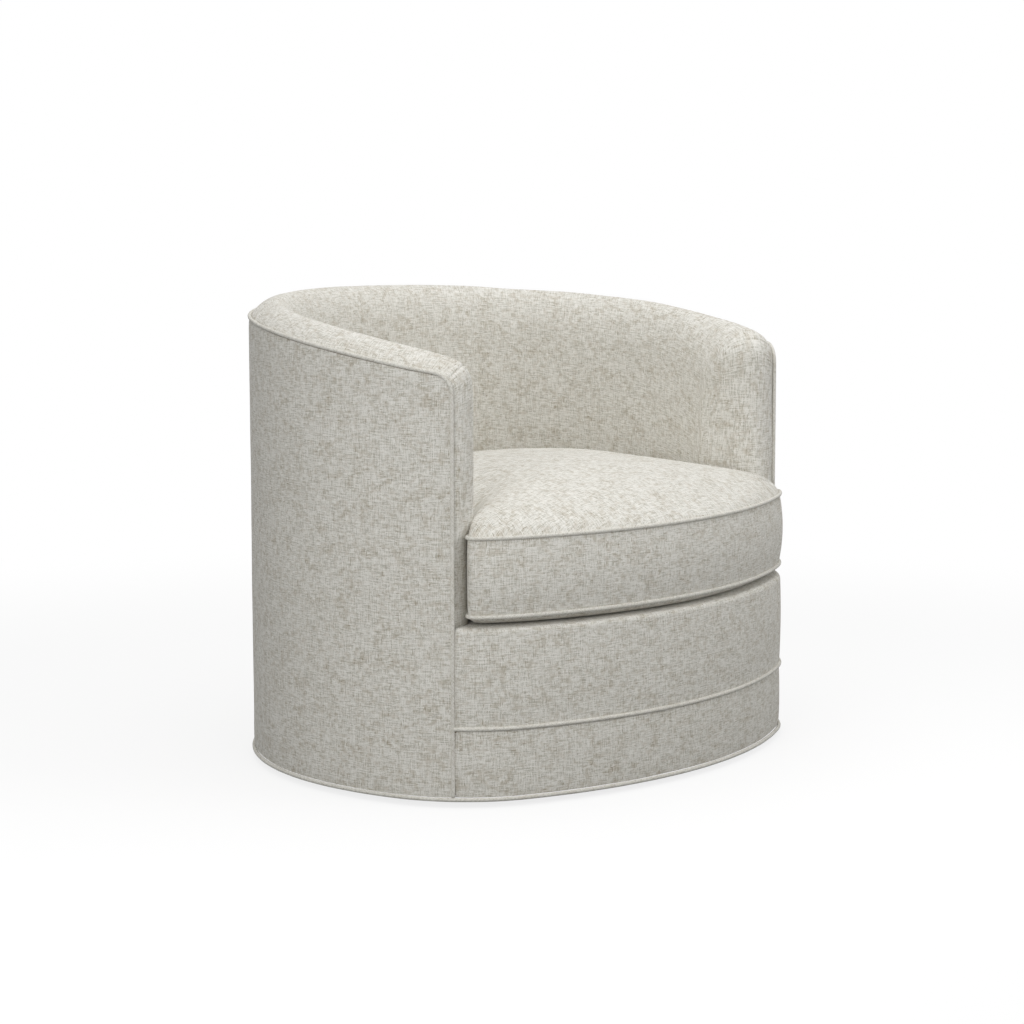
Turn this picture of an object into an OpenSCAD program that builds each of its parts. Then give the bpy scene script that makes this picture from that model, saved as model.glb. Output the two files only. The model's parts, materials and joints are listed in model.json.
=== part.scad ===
// Swivel barrel chair: an upholstered barrel on a hidden ball-bearing swivel, with a loose cushion.
// Millimetres. The origin is on the floor, at the swivel axis and the centre of the footprint.
// The front faces -Y and +Z is up. An inset is a distance inwards from the outer face in plan.

/* [Plan] */
// Radius of the round back and sides
barrel_r = 420; // [390:5:450]
// Radius of the front corners
corner_r = 205; // [190:5:220]
// Angle in front of the side line at which the corner arc starts
corner_start = 14.5; // [12:0.5:18]
// Angle at which the corner arc meets the front arc
corner_end = 64; // [60:1:68]
// Angle of the arm seams, where the barrel ends and the front panel starts
seam_angle = 35; // [32:1:38]

/* [Heights] */
// Gap between the floor and the bottom welt
floor_gap = 8; // [6:1:10]
// Height of the front welt's centre line
front_welt_h = 109; // [95:1:125]
// Height of the deck, the seat platform under the cushion
deck_h = 248; // [240:1:262]
// Height of the outer edge at the arm fronts
arm_h = 591; // [575:1:610]
// Height of the outer edge at the middle of the back
back_h = 659; // [640:1:680]
// Rise of the curved outer edge above a straight line from arm to back
edge_bow = 10; // [7:1:16]

/* [Padded wall] */
// Rise of the padded roll above the outer edge
crown_h = 24; // [18:1:30]
// Inset of the highest line of the roll
crown_in = 33; // [28:1:38]
// Thickness of the wall just under the roll
roll_w = 72; // [66:1:78]
// Thickness of the wall at the deck
wall_w = 86; // [82:1:92]
// Forward bulge of the padded arm fronts
front_bulge = 19; // [14:1:24]
// Radius of the outer edge at the top of each arm front
edge_round = 24; // [20:1:28]
// Padding over the top rail, from the foam's underside to its crown
roll_pad = 36; // [30:1:40]

/* [Fabric and welts] */
// Thickness of the cover fabric
cover_t = 1.5; // [1:0.1:2]
// Diameter of the piping in the welts
welt_d = 5.5; // [4.5:0.1:6]
// Radius of the rolled deck edge
deck_round = 12; // [8:1:16]
// Depth of the fabric border on the deck behind its front edge
border_w = 100; // [80:5:120]
// Thickness of the dust cover
dust_t = 1; // [0.8:0.1:1.2]

/* [Seat cushion] */
// Height between the cushion's two welts
boxing_h = 108; // [95:1:120]
// Height of the bottom welt above the deck
welt_rise = 15; // [12:1:18]
// Rise of the crown above the top welt
cushion_crown = 72; // [50:1:80]
// Outward bulge of the boxing between the welts
boxing_bulge = 6; // [4:0.5:8]
// Inset of the front boxing seam at the middle of the front
nose_inset = 24; // [18:1:30]
// Inset of the boxing seam at the front corners
ear_inset = 3; // [2:0.5:6]
// Gap between the cushion and the padded wall
side_gap = 4; // [3:0.5:6]
// Angle that the zip takes round the back
zip_angle = 75; // [54:1:85]
// Height of the zip tape
zip_h = 14; // [10:1:20]

/* [Wooden frame] */
// Width of the plywood rings
ring_w = 62; // [55:1:70]
// Thickness of the bottom ring
bottom_ring_t = 24; // [20:1:28]
// Thickness of the seat ring
seat_ring_t = 22; // [18:1:26]
// Thickness of the wall frame, from the board to the webbing
frame_w = 35; // [32:1:38]
// Width of the posts
post_w = 40; // [34:1:46]
// Height of the top rail
top_rail_h = 34; // [28:1:40]
// Thickness of the boards behind the outer fabric
board_t = 3; // [2.4:0.1:3.6]
// Width of the mounting rails
mount_rail_w = 60; // [50:1:66]
// Height of the mounting rails
mount_rail_h = 28; // [24:1:36]
// Leg length of the corner blocks
block_l = 45; // [35:1:55]
// Thickness of the corner blocks
block_t = 30; // [24:1:36]

/* [Suspension] */
// Number of springs
spring_n = 5; // [4:1:6]
// Distance between springs
spring_step = 96; // [85:1:104]
// Width of a spring
spring_w = 50; // [42:1:58]
// Nominal pitch of the bends along a spring
spring_pitch = 32; // [26:1:38]
// Diameter of the spring wire
wire_d = 3.8; // [3.4:0.1:4.2]
// Wall of the spring clips
clip_t = 1; // [0.8:0.1:1.2]
// Length of the clips along the wire
clip_l = 18; // [14:1:22]
// Width of the back webbing
strap_w = 50; // [40:1:60]
// Thickness of the back webbing
strap_t = 1.5; // [1:0.1:2]

/* [Swivel] */
// Distance from the floor ring's centre line to the outside of the barrel
base_setback = 170; // [155:5:190]
// Diameter of the floor ring's tube
base_tube_d = 20; // [18:1:22]
// Width of the crossed arms
spider_w = 40; // [36:1:46]
// Wall of the crossed arms
spider_t = 3; // [2.5:0.1:4]
// Height of the glides
glide_h = 5; // [4:0.5:6]
// Diameter of the glides
glide_d = 30; // [24:1:36]
// Number of glides
glide_n = 8; // [4:4:12]
// Side of the square swivel plates
plate_l = 184; // [170:2:200]
// Thickness of the swivel plates
plate_t = 4; // [3.5:0.1:4.5]
// Spacing of the plates' bolts
bolt_step = 150; // [140:2:154]
// Diameter of the bolts
bolt_d = 8; // [6:1:8]
// Radius of the ball race
race_r = 60; // [54:1:64]
// Diameter of the balls
ball_d = 10; // [9:0.5:11]
// Number of balls
ball_n = 20; // [12:1:22]
// Depth of the race groove in each plate
groove_depth = 1; // [0.6:0.1:1.4]
// Diameter of the centre pin
pin_d = 16; // [12:1:20]

/* [Hidden] */
$fn = 96;
// Segments of the plan arcs, of the large edge cylinder and of the small wires
plan_fn = 180;
edge_fn = 720;
wire_fn = 24;
// Clearances: soft or stacked pieces, running fits, holes, balls, cushion over the deck
fit_gap = 0.3;
run_gap = 0.05;
hole_gap = 0.1;
ball_gap = 0.1;
// Overrun of every cut
over = 5;
// Joined runs overlap by lap, one a hair inside the other
lap = 0.5;
hair = 0.04;
// How far the covers keep back at the rounded top front corners
corner_ease = 2;

// Plan arcs: the barrel, the two corners and the front, all tangent
front_r = (barrel_r * cos(corner_start) - corner_r * (cos(corner_start) - cos(corner_end)))
    / cos(corner_end);
corner_dx = (barrel_r - corner_r) * cos(corner_start);
corner_dy = -(barrel_r - corner_r) * sin(corner_start);
front_dy = corner_dy - (corner_r - front_r) * sin(corner_end);
front_reach = front_r - front_dy;
barrel_y = (front_reach - barrel_r) / 2;
barrel_c = [0, barrel_y];
corner_c = [corner_dx, barrel_y + corner_dy];
front_c = [0, barrel_y + front_dy];
footprint_y = (front_reach + barrel_r) / 2;

// Layers of the wall, as insets
board_in = cover_t + fit_gap;
frame_in = board_in + board_t + fit_gap;
strap_in = frame_in + frame_w + fit_gap;
foam_in = strap_in + strap_t + fit_gap;
ring_in = frame_in + ring_w;
base_r = barrel_r - base_setback;

// Welt seats: the piping stands out by about half, and the fabric stops short of it
welt_r = welt_d / 2;
welt_out = welt_r - cover_t;
welt_clear = welt_r + fit_gap;
edge_in_share = 0.25;
edge_welt_in = welt_r * edge_in_share;
edge_welt_h = welt_r / 2;
edge_drop = welt_clear - edge_welt_h;
seam_trim = welt_clear + edge_welt_h;
roll_in = edge_welt_in + welt_clear;

// Heights from the floor up
tube_z = glide_h + base_tube_d / 2;
spider_rise = 1;
lower_plate_z = glide_h + base_tube_d + spider_rise;
ball_z = lower_plate_z + plate_t - groove_depth + ball_d / 2;
upper_plate_z = ball_z + ball_d / 2 - groove_depth;
ring_top = upper_plate_z + plate_t;
ring_z = ring_top - bottom_ring_t;
mount_top = ring_top + mount_rail_h;
bottom_welt_z = floor_gap + welt_r;
hem_z = bottom_welt_z + welt_clear;
clip_r = wire_d / 2 + hole_gap + clip_t;
seat_top_share = 0.105;
seat_top = deck_h - deck_h * seat_top_share;
seat_z = seat_top - seat_ring_t;
wire_z = seat_top + clip_r;
pad_z = wire_z + clip_r + fit_gap;
roll_top = deck_h - cover_t - fit_gap;
pad_top = roll_top - cover_t - fit_gap;

// The outer edge is a circle in side view, from the arm seams up to the back
function arc_deg(length, radius) = length / radius * 180 / PI;
seam_xy = corner_c + corner_r * [cos(seam_angle), -sin(seam_angle)];
seam_back = [sin(seam_angle), cos(seam_angle)];
seam_in = [-cos(seam_angle), sin(seam_angle)];
edge_dy = barrel_y + barrel_r - seam_xy[1];
edge_dz = back_h - arm_h;
edge_chord = norm([edge_dy, edge_dz]);
edge_r = (edge_chord * edge_chord / 4 + edge_bow * edge_bow) / (2 * edge_bow);
edge_cy = seam_xy[1] + edge_dy / 2 + edge_dz / edge_chord * (edge_r - edge_bow);
edge_cz = arm_h + edge_dz / 2 - edge_dy / edge_chord * (edge_r - edge_bow);
function edge_z(y) = edge_cz + sqrt(edge_r * edge_r - (y - edge_cy) * (y - edge_cy));

// A point in plan whose outward normal has the angle a, from -90 at the front right round to 270
function twin(a) = a > 90 ? 180 - a : a;
function hand(a) = a > 90 ? -1 : 1;
function arc_centre(a) = twin(a) >= -corner_start ? barrel_c
    : twin(a) >= -corner_end ? [hand(a) * corner_c[0], corner_c[1]]
    : front_c;
function arc_radius(a) = twin(a) >= -corner_start ? barrel_r
    : twin(a) >= -corner_end ? corner_r
    : front_r;
function plan_pt(a, inset) = arc_centre(a) + (arc_radius(a) - inset) * [cos(a), sin(a)];

// A point near an arm seam: t runs back along the wall from the seam, and forwards where negative
function seam_pt(t, inset) = t < 0
    ? seam_xy + t * seam_back + inset * seam_in
    : plan_pt(arc_deg(t, corner_r) - seam_angle, inset);

// Stations round the outer edge, up one arm front, over the top and down the other
UPRIGHT = 0;
BEND = 1;
TOP = 2;
bend_z = edge_z(seam_xy[1]) - edge_round;
top_start = arc_deg(edge_round, corner_r) - seam_angle;
function stations(z0, rows, bends, cols) = concat(
    [for (j = [0:rows - 1]) [UPRIGHT, z0 + (bend_z - z0) * j / (rows - 1), 1]],
    [for (j = [1:bends]) [BEND, 90 * j / (bends + 1), 1]],
    [for (j = [0:cols - 1]) [TOP, top_start + (180 - 2 * top_start) * j / (cols - 1), 0]],
    [for (j = [bends:-1:1]) [BEND, 90 * j / (bends + 1), -1]],
    [for (j = [rows - 1:-1:0]) [UPRIGHT, z0 + (bend_z - z0) * j / (rows - 1), -1]]
);
function placed(side, xy, z) = [side * xy[0], xy[1], z];
// A point of a section at one station: h is the height over the outer edge, or the reach in front
// of it on an arm front, where bulge_share scales it
function section_pt(st, inset, h, bulge_share) =
    st[0] == UPRIGHT
        ? placed(st[2], seam_pt(-(h > 0 ? h * bulge_share : h), inset), st[1])
    : st[0] == BEND
        ? let (
            rise = h > 0 ? h * (bulge_share + (1 - bulge_share) * pow(sin(st[1]), 2)) : h,
            t = edge_round - (edge_round + rise) * cos(st[1])
        ) placed(st[2], seam_pt(t, inset),
            edge_z(seam_pt(max(t, 0), 0)[1]) - edge_round + (edge_round + rise) * sin(st[1]))
    : let (p = plan_pt(st[1], inset)) [p[0], p[1], edge_z(plan_pt(st[1], 0)[1]) + h];

// Section of the padded roll, a layer deep: two quarter ellipses that meet on the crown line
function roll_section(layer, outer_n, inner_n) = concat(
    [for (k = [0:outer_n - 1]) let (w = 90 * k / outer_n)
        [crown_in - (crown_in - roll_in - layer) * cos(w), (crown_h - layer) * sin(w)]],
    [for (k = [0:inner_n]) let (w = 90 * k / inner_n)
        [crown_in + (roll_w - layer - crown_in) * sin(w),
            (crown_h - layer + edge_round) * cos(w) - edge_round]]
);
// Section of the foam's underside, flat over the rail and down its inner face
function seat_section(outer_n, inner_n) = concat(
    [for (k = [0:outer_n - 1]) let (w = 90 * k / outer_n)
        [crown_in - (crown_in - roll_in - welt_r) * cos(w), (crown_h - roll_pad) * sin(w)]],
    [for (k = [0:inner_n]) let (w = 90 * k / inner_n)
        [crown_in + (foam_in - crown_in) * sin(w),
            (crown_h - roll_pad + edge_round) * cos(w) - edge_round]]
);

// One side of a padded skin: the roll's strip and, inside it, the face down to z0
function skin_points(z0, rows, bends, cols, section, foot_in, bulge_share) =
    let (sts = stations(z0, rows, bends, cols), last = section[len(section) - 1])
    concat(
        [for (st = sts) for (p = section) section_pt(st, p[0], p[1], bulge_share)],
        [for (c = [1:cols - 2]) for (j = [0:rows - 2])
            let (
                a = sts[rows + bends + c][1],
                up = j / (rows - 1),
                p = plan_pt(a, foot_in + (last[0] - foot_in) * up),
                head = edge_z(plan_pt(a, 0)[1]) + last[1]
            ) [p[0], p[1], z0 + (head - z0) * up]]
    );
// Index of a strip point: the inner ends of the bend stations share one corner point
function strip_id(i, k, rows, bends, cols, n) =
    let (count = 2 * (rows + bends) + cols, first = rows + bends, end = first + cols - 1)
    k == n - 1 && i >= rows - 1 && i < first ? first * n + k
    : k == n - 1 && i > end && i <= end + bends + 1 ? end * n + k
    : i * n + k;
function face_id(c, j, rows, bends, cols, n) =
    let (count = 2 * (rows + bends) + cols)
    j == rows - 1 ? strip_id(rows + bends + c, n - 1, rows, bends, cols, n)
    : c == 0 ? strip_id(j, n - 1, rows, bends, cols, n)
    : c == cols - 1 ? strip_id(count - 1 - j, n - 1, rows, bends, cols, n)
    : count * n + (c - 1) * (rows - 1) + j;
function quad(a, b, c, d) = [for (t = [[a, b, c], [a, c, d]])
    if (t[0] != t[1] && t[1] != t[2] && t[0] != t[2]) t];
function skin_faces(rows, bends, cols, n) =
    let (
        count = 2 * (rows + bends) + cols,
        s = function(i, k) strip_id(i, k, rows, bends, cols, n),
        g = function(c, j) face_id(c, j, rows, bends, cols, n)
    )
    concat(
        [for (i = [0:count - 2]) for (k = [0:n - 2])
            each quad(s(i, k), s(i, k + 1), s(i + 1, k + 1), s(i + 1, k))],
        [for (c = [0:cols - 2]) for (j = [0:rows - 2])
            each quad(g(c, j), g(c + 1, j), g(c + 1, j + 1), g(c, j + 1))]
    );
function skin_rim(rows, bends, cols, n) =
    let (count = 2 * (rows + bends) + cols)
    concat(
        [for (i = [0:count - 1]) i * n],
        [for (k = [1:n - 1]) strip_id(count - 1, k, rows, bends, cols, n)],
        [for (c = [cols - 2:-1:0]) face_id(c, 0, rows, bends, cols, n)],
        [for (k = [n - 2:-1:1]) k]
    );
module padded_skin(z0, rows, bends, cols, outer, inner, outer_foot, inner_foot) {
    n = len(outer);
    share = front_bulge / crown_h;
    size = (2 * (rows + bends) + cols) * n + (cols - 2) * (rows - 1);
    faces = skin_faces(rows, bends, cols, n);
    rim = skin_rim(rows, bends, cols, n);
    polyhedron(
        points = concat(
            skin_points(z0, rows, bends, cols, outer, outer_foot, share),
            skin_points(z0, rows, bends, cols, inner, inner_foot, share)
        ),
        faces = concat(
            faces,
            [for (f = faces) [f[2] + size, f[1] + size, f[0] + size]],
            [for (i = [0:len(rim) - 1]) let (p = rim[i], q = rim[(i + 1) % len(rim)])
                each quad(p, q, q + size, p + size)]
        )
    );
}

// Plan shapes and sweeps
module pie(centre, radius, from, to) {
    n = 4;
    step = (to - from) / n;
    translate(centre) intersection() {
        circle(r = radius, $fn = plan_fn);
        polygon(concat([[0, 0]], [for (i = [0:n]) 2 * radius * [cos(from + step * i), sin(from + step * i)]]));
    }
}
lap_angle = arc_deg(lap, corner_r);
module corner_pies(inset, from, to) for (side = [0, 1]) mirror([side, 0])
    pie(corner_c, corner_r - inset - hair, from, to);
module plan_2d(inset) {
    pie(front_c, front_r - inset, corner_end - 180, -corner_end);
    corner_pies(inset, -corner_end - lap_angle, -corner_start + lap_angle);
    pie(barrel_c, barrel_r - inset, -corner_start, 180 + corner_start);
}
// Carries a section round an arc: x is zero on the outer face and negative inwards
module arc_run(centre, radius, from, to)
    translate([centre[0], centre[1], 0]) rotate([0, 0, from])
        rotate_extrude(angle = to - from, $fn = plan_fn) translate([radius, 0]) children();
module corner_runs(from, to, shift) translate([0, 0, -shift]) {
    arc_run(corner_c, corner_r - shift, from, to) children();
    arc_run([-corner_c[0], corner_c[1]], corner_r - shift, 180 - to, 180 - from) children();
}
module front_sweep(trim) {
    arc_run(front_c, front_r, corner_end - 180, -corner_end) children();
    corner_runs(-corner_end - lap_angle, -arc_deg(trim, corner_r) - seam_angle, hair) children();
}
module band(inset, t, z0, z1) translate([-inset - t, z0]) square([t, z1 - z0]);
// Everything under the outer edge, lowered by drop
module under_edge(drop)
    translate([-barrel_r - over, edge_cy, edge_cz - drop]) rotate([0, 90, 0])
        cylinder(r = edge_r, h = 2 * (barrel_r + over), $fn = edge_fn);
// A band round the barrel whose top follows the outer edge, drop below it
module sloped_band(trim, inset, t, z0, drop) {
    intersection() {
        arc_run(barrel_c, barrel_r, -corner_start, 180 + corner_start) band(inset, t, z0, back_h);
        under_edge(drop);
    }
    for (side = [0, 1]) mirror([side, 0, 0]) intersection() {
        arc_run(corner_c, corner_r - hair, arc_deg(trim, corner_r) - seam_angle, -corner_start + lap_angle)
            band(inset, t, z0 + hair, back_h);
        under_edge(drop + hair);
        corner_rounding(trim);
    }
}
// Everything behind the rounded top front corner of a layer that stops layer short of the outer edge
module corner_rounding(layer) {
    slope = (edge_z((seam_xy + edge_round * seam_back)[1]) - edge_z(seam_xy[1])) / edge_round;
    tilt = atan(slope);
    round_r = edge_round * tan(45 + tilt / 2) + corner_ease;
    r = round_r - layer + 2 * hair;
    centre_z = edge_z(seam_xy[1]) - edge_round + corner_ease * tan(tilt) - corner_ease / cos(tilt);
    translate([seam_xy[0], seam_xy[1], centre_z]) rotate([0, 0, 90 - seam_angle])
        translate([0, wall_w / 2, 0]) rotate([90, 0, 0])
            linear_extrude(height = wall_w, center = true) difference() {
                translate([-over, -back_h]) square([barrel_r, 2 * back_h]);
                translate([-2 * over, 0]) square([2 * over + round_r - r * sin(tilt), back_h + over]);
            }
    translate([seam_xy[0], seam_xy[1], centre_z]) rotate([0, 0, 90 - seam_angle])
        translate([round_r, wall_w / 2, 0]) rotate([90, 0, 0])
            cylinder(r = r, h = wall_w, center = true);
}
// Round tube along the stations, given by the inset and the height of its centre line
module edge_tube(sts, inset, h, radius, sides) {
    n = len(sts);
    polyhedron(
        points = [for (st = sts) for (k = [0:sides - 1])
            section_pt(st, inset + radius * cos(360 * k / sides), h + radius * sin(360 * k / sides), 1)],
        faces = concat(
            [for (i = [0:n - 2]) for (k = [0:sides - 1]) let (m = (k + 1) % sides)
                each quad(i * sides + k, i * sides + sides + k, i * sides + sides + m, i * sides + m)],
            [[for (k = [0:sides - 1]) k]],
            [[for (k = [sides - 1:-1:0]) (n - 1) * sides + k]]
        )
    );
}

// Outline of the cushion's seams, grown outwards by grow
ear_t = front_bulge + side_gap + welt_d;
ear_angle = -arc_deg(ear_t, corner_r) - seam_angle;
cushion_in = wall_w + side_gap + boxing_bulge;
flank_angle = -16;
flank_n = 25;
nose_n = 13;
notch_mid_share = 0.5;
notch_turn_share = 0.55;
function nose_depth(a) = ear_inset
    + (nose_inset - ear_inset) * (1 - pow((a - 270) / (270 - 180 + ear_angle), 2));
function notch(side, grow) = [for (p = [
        seam_pt(-ear_t + grow, wall_w * notch_mid_share),
        seam_pt(-ear_t * notch_turn_share + grow, wall_w - grow),
        seam_pt(edge_round / 2, cushion_in - grow)
    ]) [side * p[0], p[1]]];
function reversed(v) = [for (i = [len(v) - 1:-1:0]) v[i]];
function cushion_outline(grow) = concat(
    [for (j = [0:flank_n - 1])
        plan_pt(flank_angle + (180 - 2 * flank_angle) * j / (flank_n - 1), cushion_in - grow)],
    reversed(notch(-1, grow)),
    [for (j = [0:nose_n - 1])
        let (a = 180 - ear_angle + (180 + 2 * ear_angle) * j / (nose_n - 1))
        nose_pt(a, nose_depth(a) - grow)],
    notch(1, grow)
);
function nose_pt(a, inset) = plan_pt(a > 270 ? a - 360 : a, inset);
// Levels of the cushion: [share of the outline, growth, height], from the underside to the crown
cushion_c = [0, barrel_y];
cushion_oval = [0.93, 0.8] * (barrel_r - cushion_in);
under_z = deck_h + fit_gap;
low_z = deck_h + welt_rise;
high_z = low_z + boxing_h;
crown_shares = [[0.955, 0.2], [0.87, 0.47], [0.74, 0.71], [0.52, 0.9], [0.26, 0.98]];
boxing_shares = [[0.25, 0.8], [0.5, 1], [0.75, 0.8]];
function cushion_levels(layer) = concat(
    [[0.45, 0, under_z + layer], [0.86, 0, under_z + layer], [0.965, 0, under_z + layer + welt_rise / 5]],
    [[1, -layer, low_z]],
    [for (p = boxing_shares) [1, boxing_bulge * p[1] - layer, low_z + boxing_h * p[0]]],
    [[1, -layer, high_z]],
    [for (p = crown_shares) [p[0], -layer, high_z + (cushion_crown - layer) * p[1]]]
);
// A point at one share of the way out: the rings turn from the outline into an oval towards the middle
function cushion_pt(p, share) =
    let (
        v = p - cushion_c,
        u = v / norm(v),
        oval = u / norm([u[0] / cushion_oval[0], u[1] / cushion_oval[1]]),
        mix = pow(share, 3)
    ) cushion_c + share * (mix * v + (1 - mix) * oval);
module cushion_form(layer) {
    levels = cushion_levels(layer);
    n = len(cushion_outline(0));
    m = len(levels);
    foot = n * m;
    polyhedron(
        points = concat(
            [for (l = levels) for (p = cushion_outline(l[1]))
                let (q = cushion_pt(p, l[0])) [q[0], q[1], l[2]]],
            [[cushion_c[0], cushion_c[1], under_z + layer]],
            [[cushion_c[0], cushion_c[1], high_z + cushion_crown - layer]]
        ),
        faces = concat(
            [for (i = [0:m - 2]) for (k = [0:n - 1]) let (j = (k + 1) % n)
                each quad(i * n + k, i * n + n + k, i * n + n + j, i * n + j)],
            [for (k = [0:n - 1]) [foot, k, (k + 1) % n]],
            [for (k = [0:n - 1]) [foot + 1, (m - 1) * n + (k + 1) % n, (m - 1) * n + k]]
        )
    );
}
// Piping round the cushion's outline at height z
module cushion_piping(z) {
    sides = 6;
    lines = [for (k = [0:sides - 1])
        [welt_clear + welt_r * cos(360 * k / sides), z + welt_r * sin(360 * k / sides)]];
    rings = [for (l = lines) cushion_outline(l[0])];
    n = len(rings[0]);
    polyhedron(
        points = [for (i = [0:n - 1]) for (k = [0:sides - 1]) [rings[k][i][0], rings[k][i][1], lines[k][1]]],
        faces = [for (i = [0:n - 1]) for (k = [0:sides - 1])
            let (j = (i + 1) % n, m = (k + 1) % sides)
            each quad(i * sides + k, i * sides + m, j * sides + m, j * sides + k)]
    );
}

// Swivel base
spigot_d = 8;
spigot_h = 6;
glide_edge = 1;
head_d = 14;
head_h = 3;
nut_d = 15;
nut_h = 6;
bolt_tail = 3;
module at_glides()
    for (i = [0:glide_n - 1]) rotate([0, 0, 360 * i / glide_n + 180 / glide_n])
        translate([base_r, 0, 0]) children();
module at_bolts()
    for (x = [-1, 1]) for (y = [-1, 1]) translate([x * bolt_step / 2, y * bolt_step / 2, 0]) children();
module nut(across, height, bore) difference() {
    cylinder(d = across, h = height, $fn = 6);
    translate([0, 0, -over]) cylinder(d = bore, h = height + 2 * over);
}
module glides() color("dimgray") at_glides() {
    cylinder(d1 = glide_d - 2 * glide_edge, d2 = glide_d, h = glide_edge);
    translate([0, 0, glide_edge]) cylinder(d = glide_d, h = glide_h - glide_edge);
    cylinder(d = spigot_d, h = glide_h + spigot_h);
}
module base_frame() color("black") difference() {
    union() {
        translate([0, 0, tube_z]) rotate_extrude($fn = plan_fn) translate([base_r, 0])
            circle(d = base_tube_d, $fn = wire_fn * 2);
        for (turn = [45, 135]) rotate([0, 0, turn]) translate([-base_r, -spider_w / 2, glide_h + spider_rise])
            cube([2 * base_r, spider_w, base_tube_d]);
    }
    for (turn = [45, 135]) rotate([0, 0, turn])
        translate([base_tube_d - base_r, spider_t - spider_w / 2, glide_h - over])
            cube([2 * (base_r - base_tube_d), spider_w - 2 * spider_t, base_tube_d - spider_t + over + spider_rise]);
    at_bolts() cylinder(d = bolt_d + 2 * hole_gap, h = lower_plate_z + over);
    at_glides() cylinder(d = spigot_d + 2 * hole_gap, h = glide_h + spigot_h + hole_gap);
}
module race_groove() translate([0, 0, ball_z]) rotate_extrude($fn = plan_fn) translate([race_r, 0])
    circle(d = ball_d + 2 * ball_gap, $fn = wire_fn * 2);
module plate(z, bore) difference() {
    translate([-plate_l / 2, -plate_l / 2, z]) cube([plate_l, plate_l, plate_t]);
    race_groove();
    translate([0, 0, z - over]) cylinder(d = bore, h = plate_t + 2 * over);
    at_bolts() translate([0, 0, z - over]) cylinder(d = bolt_d + 2 * hole_gap, h = plate_t + 2 * over);
}
module lower_plate() color("silver") plate(lower_plate_z, pin_d + 2 * hole_gap);
module bolt(z, length, up) translate([0, 0, z]) mirror([0, 0, up ? 0 : 1]) {
    translate([0, 0, -head_h]) cylinder(d = head_d, h = head_h);
    cylinder(d = bolt_d, h = length);
}
base_bolt_l = plate_t + spider_t + nut_h + bolt_tail;
module base_bolts() color("silver") at_bolts() bolt(lower_plate_z + plate_t, base_bolt_l, false);
module base_nuts() color("silver") at_bolts()
    translate([0, 0, lower_plate_z - spider_t - nut_h]) nut(nut_d, nut_h, bolt_d + 2 * run_gap);
washer_t = 2;
washer_d = pin_d * 2;
pin_nut_h = pin_d / 2;
pin_nut_d = pin_d * 1.7;
washer_z = upper_plate_z + plate_t + fit_gap;
pin_top = washer_z + washer_t + pin_nut_h + bolt_tail;
module center_pin() color("gray") {
    translate([0, 0, lower_plate_z]) cylinder(d = pin_d, h = pin_top - lower_plate_z);
    translate([0, 0, lower_plate_z + plate_t]) cylinder(d = pin_d * 1.5, h = washer_t);
}
module pin_washer() color("silver") translate([0, 0, washer_z]) difference() {
    cylinder(d = washer_d, h = washer_t);
    translate([0, 0, -over]) cylinder(d = pin_d + 2 * hole_gap, h = washer_t + 2 * over);
}
module pin_nut() color("silver") translate([0, 0, washer_z + washer_t]) nut(pin_nut_d, pin_nut_h, pin_d + 2 * run_gap);

// Ball bearing
cage_t = 2;
cage_w = ball_d * 1.6;
module at_balls() for (i = [0:ball_n - 1]) rotate([0, 0, 360 * i / ball_n]) translate([race_r, 0, 0]) children();
module bearing_balls() color("silver") at_balls() translate([0, 0, ball_z]) sphere(d = ball_d, $fn = wire_fn * 2);
module ball_cage() color("goldenrod") translate([0, 0, ball_z - cage_t / 2]) difference() {
    cylinder(r = race_r + cage_w / 2, h = cage_t);
    translate([0, 0, -over]) cylinder(r = race_r - cage_w / 2, h = cage_t + 2 * over);
    at_balls() translate([0, 0, -over]) cylinder(d = ball_d + 2 * ball_gap, h = cage_t + 2 * over);
}

// Frame of the turning part
module upper_plate() color("silver") plate(upper_plate_z, pin_d + 2 * run_gap);
plate_bolt_l = plate_t + mount_rail_h + nut_h + bolt_tail;
module plate_bolts() color("silver") at_bolts() bolt(upper_plate_z, plate_bolt_l, true);
module plate_nuts() color("silver") at_bolts() translate([0, 0, mount_top]) nut(nut_d, nut_h, bolt_d + 2 * run_gap);
module mount_rails() color("burlywood") difference() {
    intersection() {
        translate([0, 0, ring_top]) linear_extrude(height = mount_rail_h) plan_2d(frame_in);
        for (x = [-1, 1]) translate([x * bolt_step / 2 - mount_rail_w / 2, -footprint_y, 0])
            cube([mount_rail_w, 2 * footprint_y, mount_top]);
    }
    at_bolts() cylinder(d = bolt_d + 2 * hole_gap, h = mount_top + over);
}
module full_sweep() {
    arc_run(barrel_c, barrel_r, -corner_start, 180 + corner_start) children();
    corner_runs(-corner_end - lap_angle, -corner_start + lap_angle, hair) children();
    arc_run(front_c, front_r, corner_end - 180, -corner_end) children();
}
module bottom_ring() color("burlywood") full_sweep() band(frame_in, ring_w, ring_z, ring_top);
module seat_ring() color("burlywood") full_sweep() band(frame_in, ring_w, seat_z, seat_top);
dust_gap = 22;
module dust_cover() color("black") translate([0, 0, ring_z - fit_gap - dust_t]) linear_extrude(height = dust_t)
    difference() {
        plan_2d(frame_in);
        circle(r = base_r + base_tube_d / 2 + dust_gap, $fn = plan_fn);
    }
// Posts stand between the rings, and between the seat ring and the top rail
lower_angles = [-90, -58, -24, 14, 50, 90];
upper_angles = [8, 36, 63, 90];
rail_drop = 22;
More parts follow.
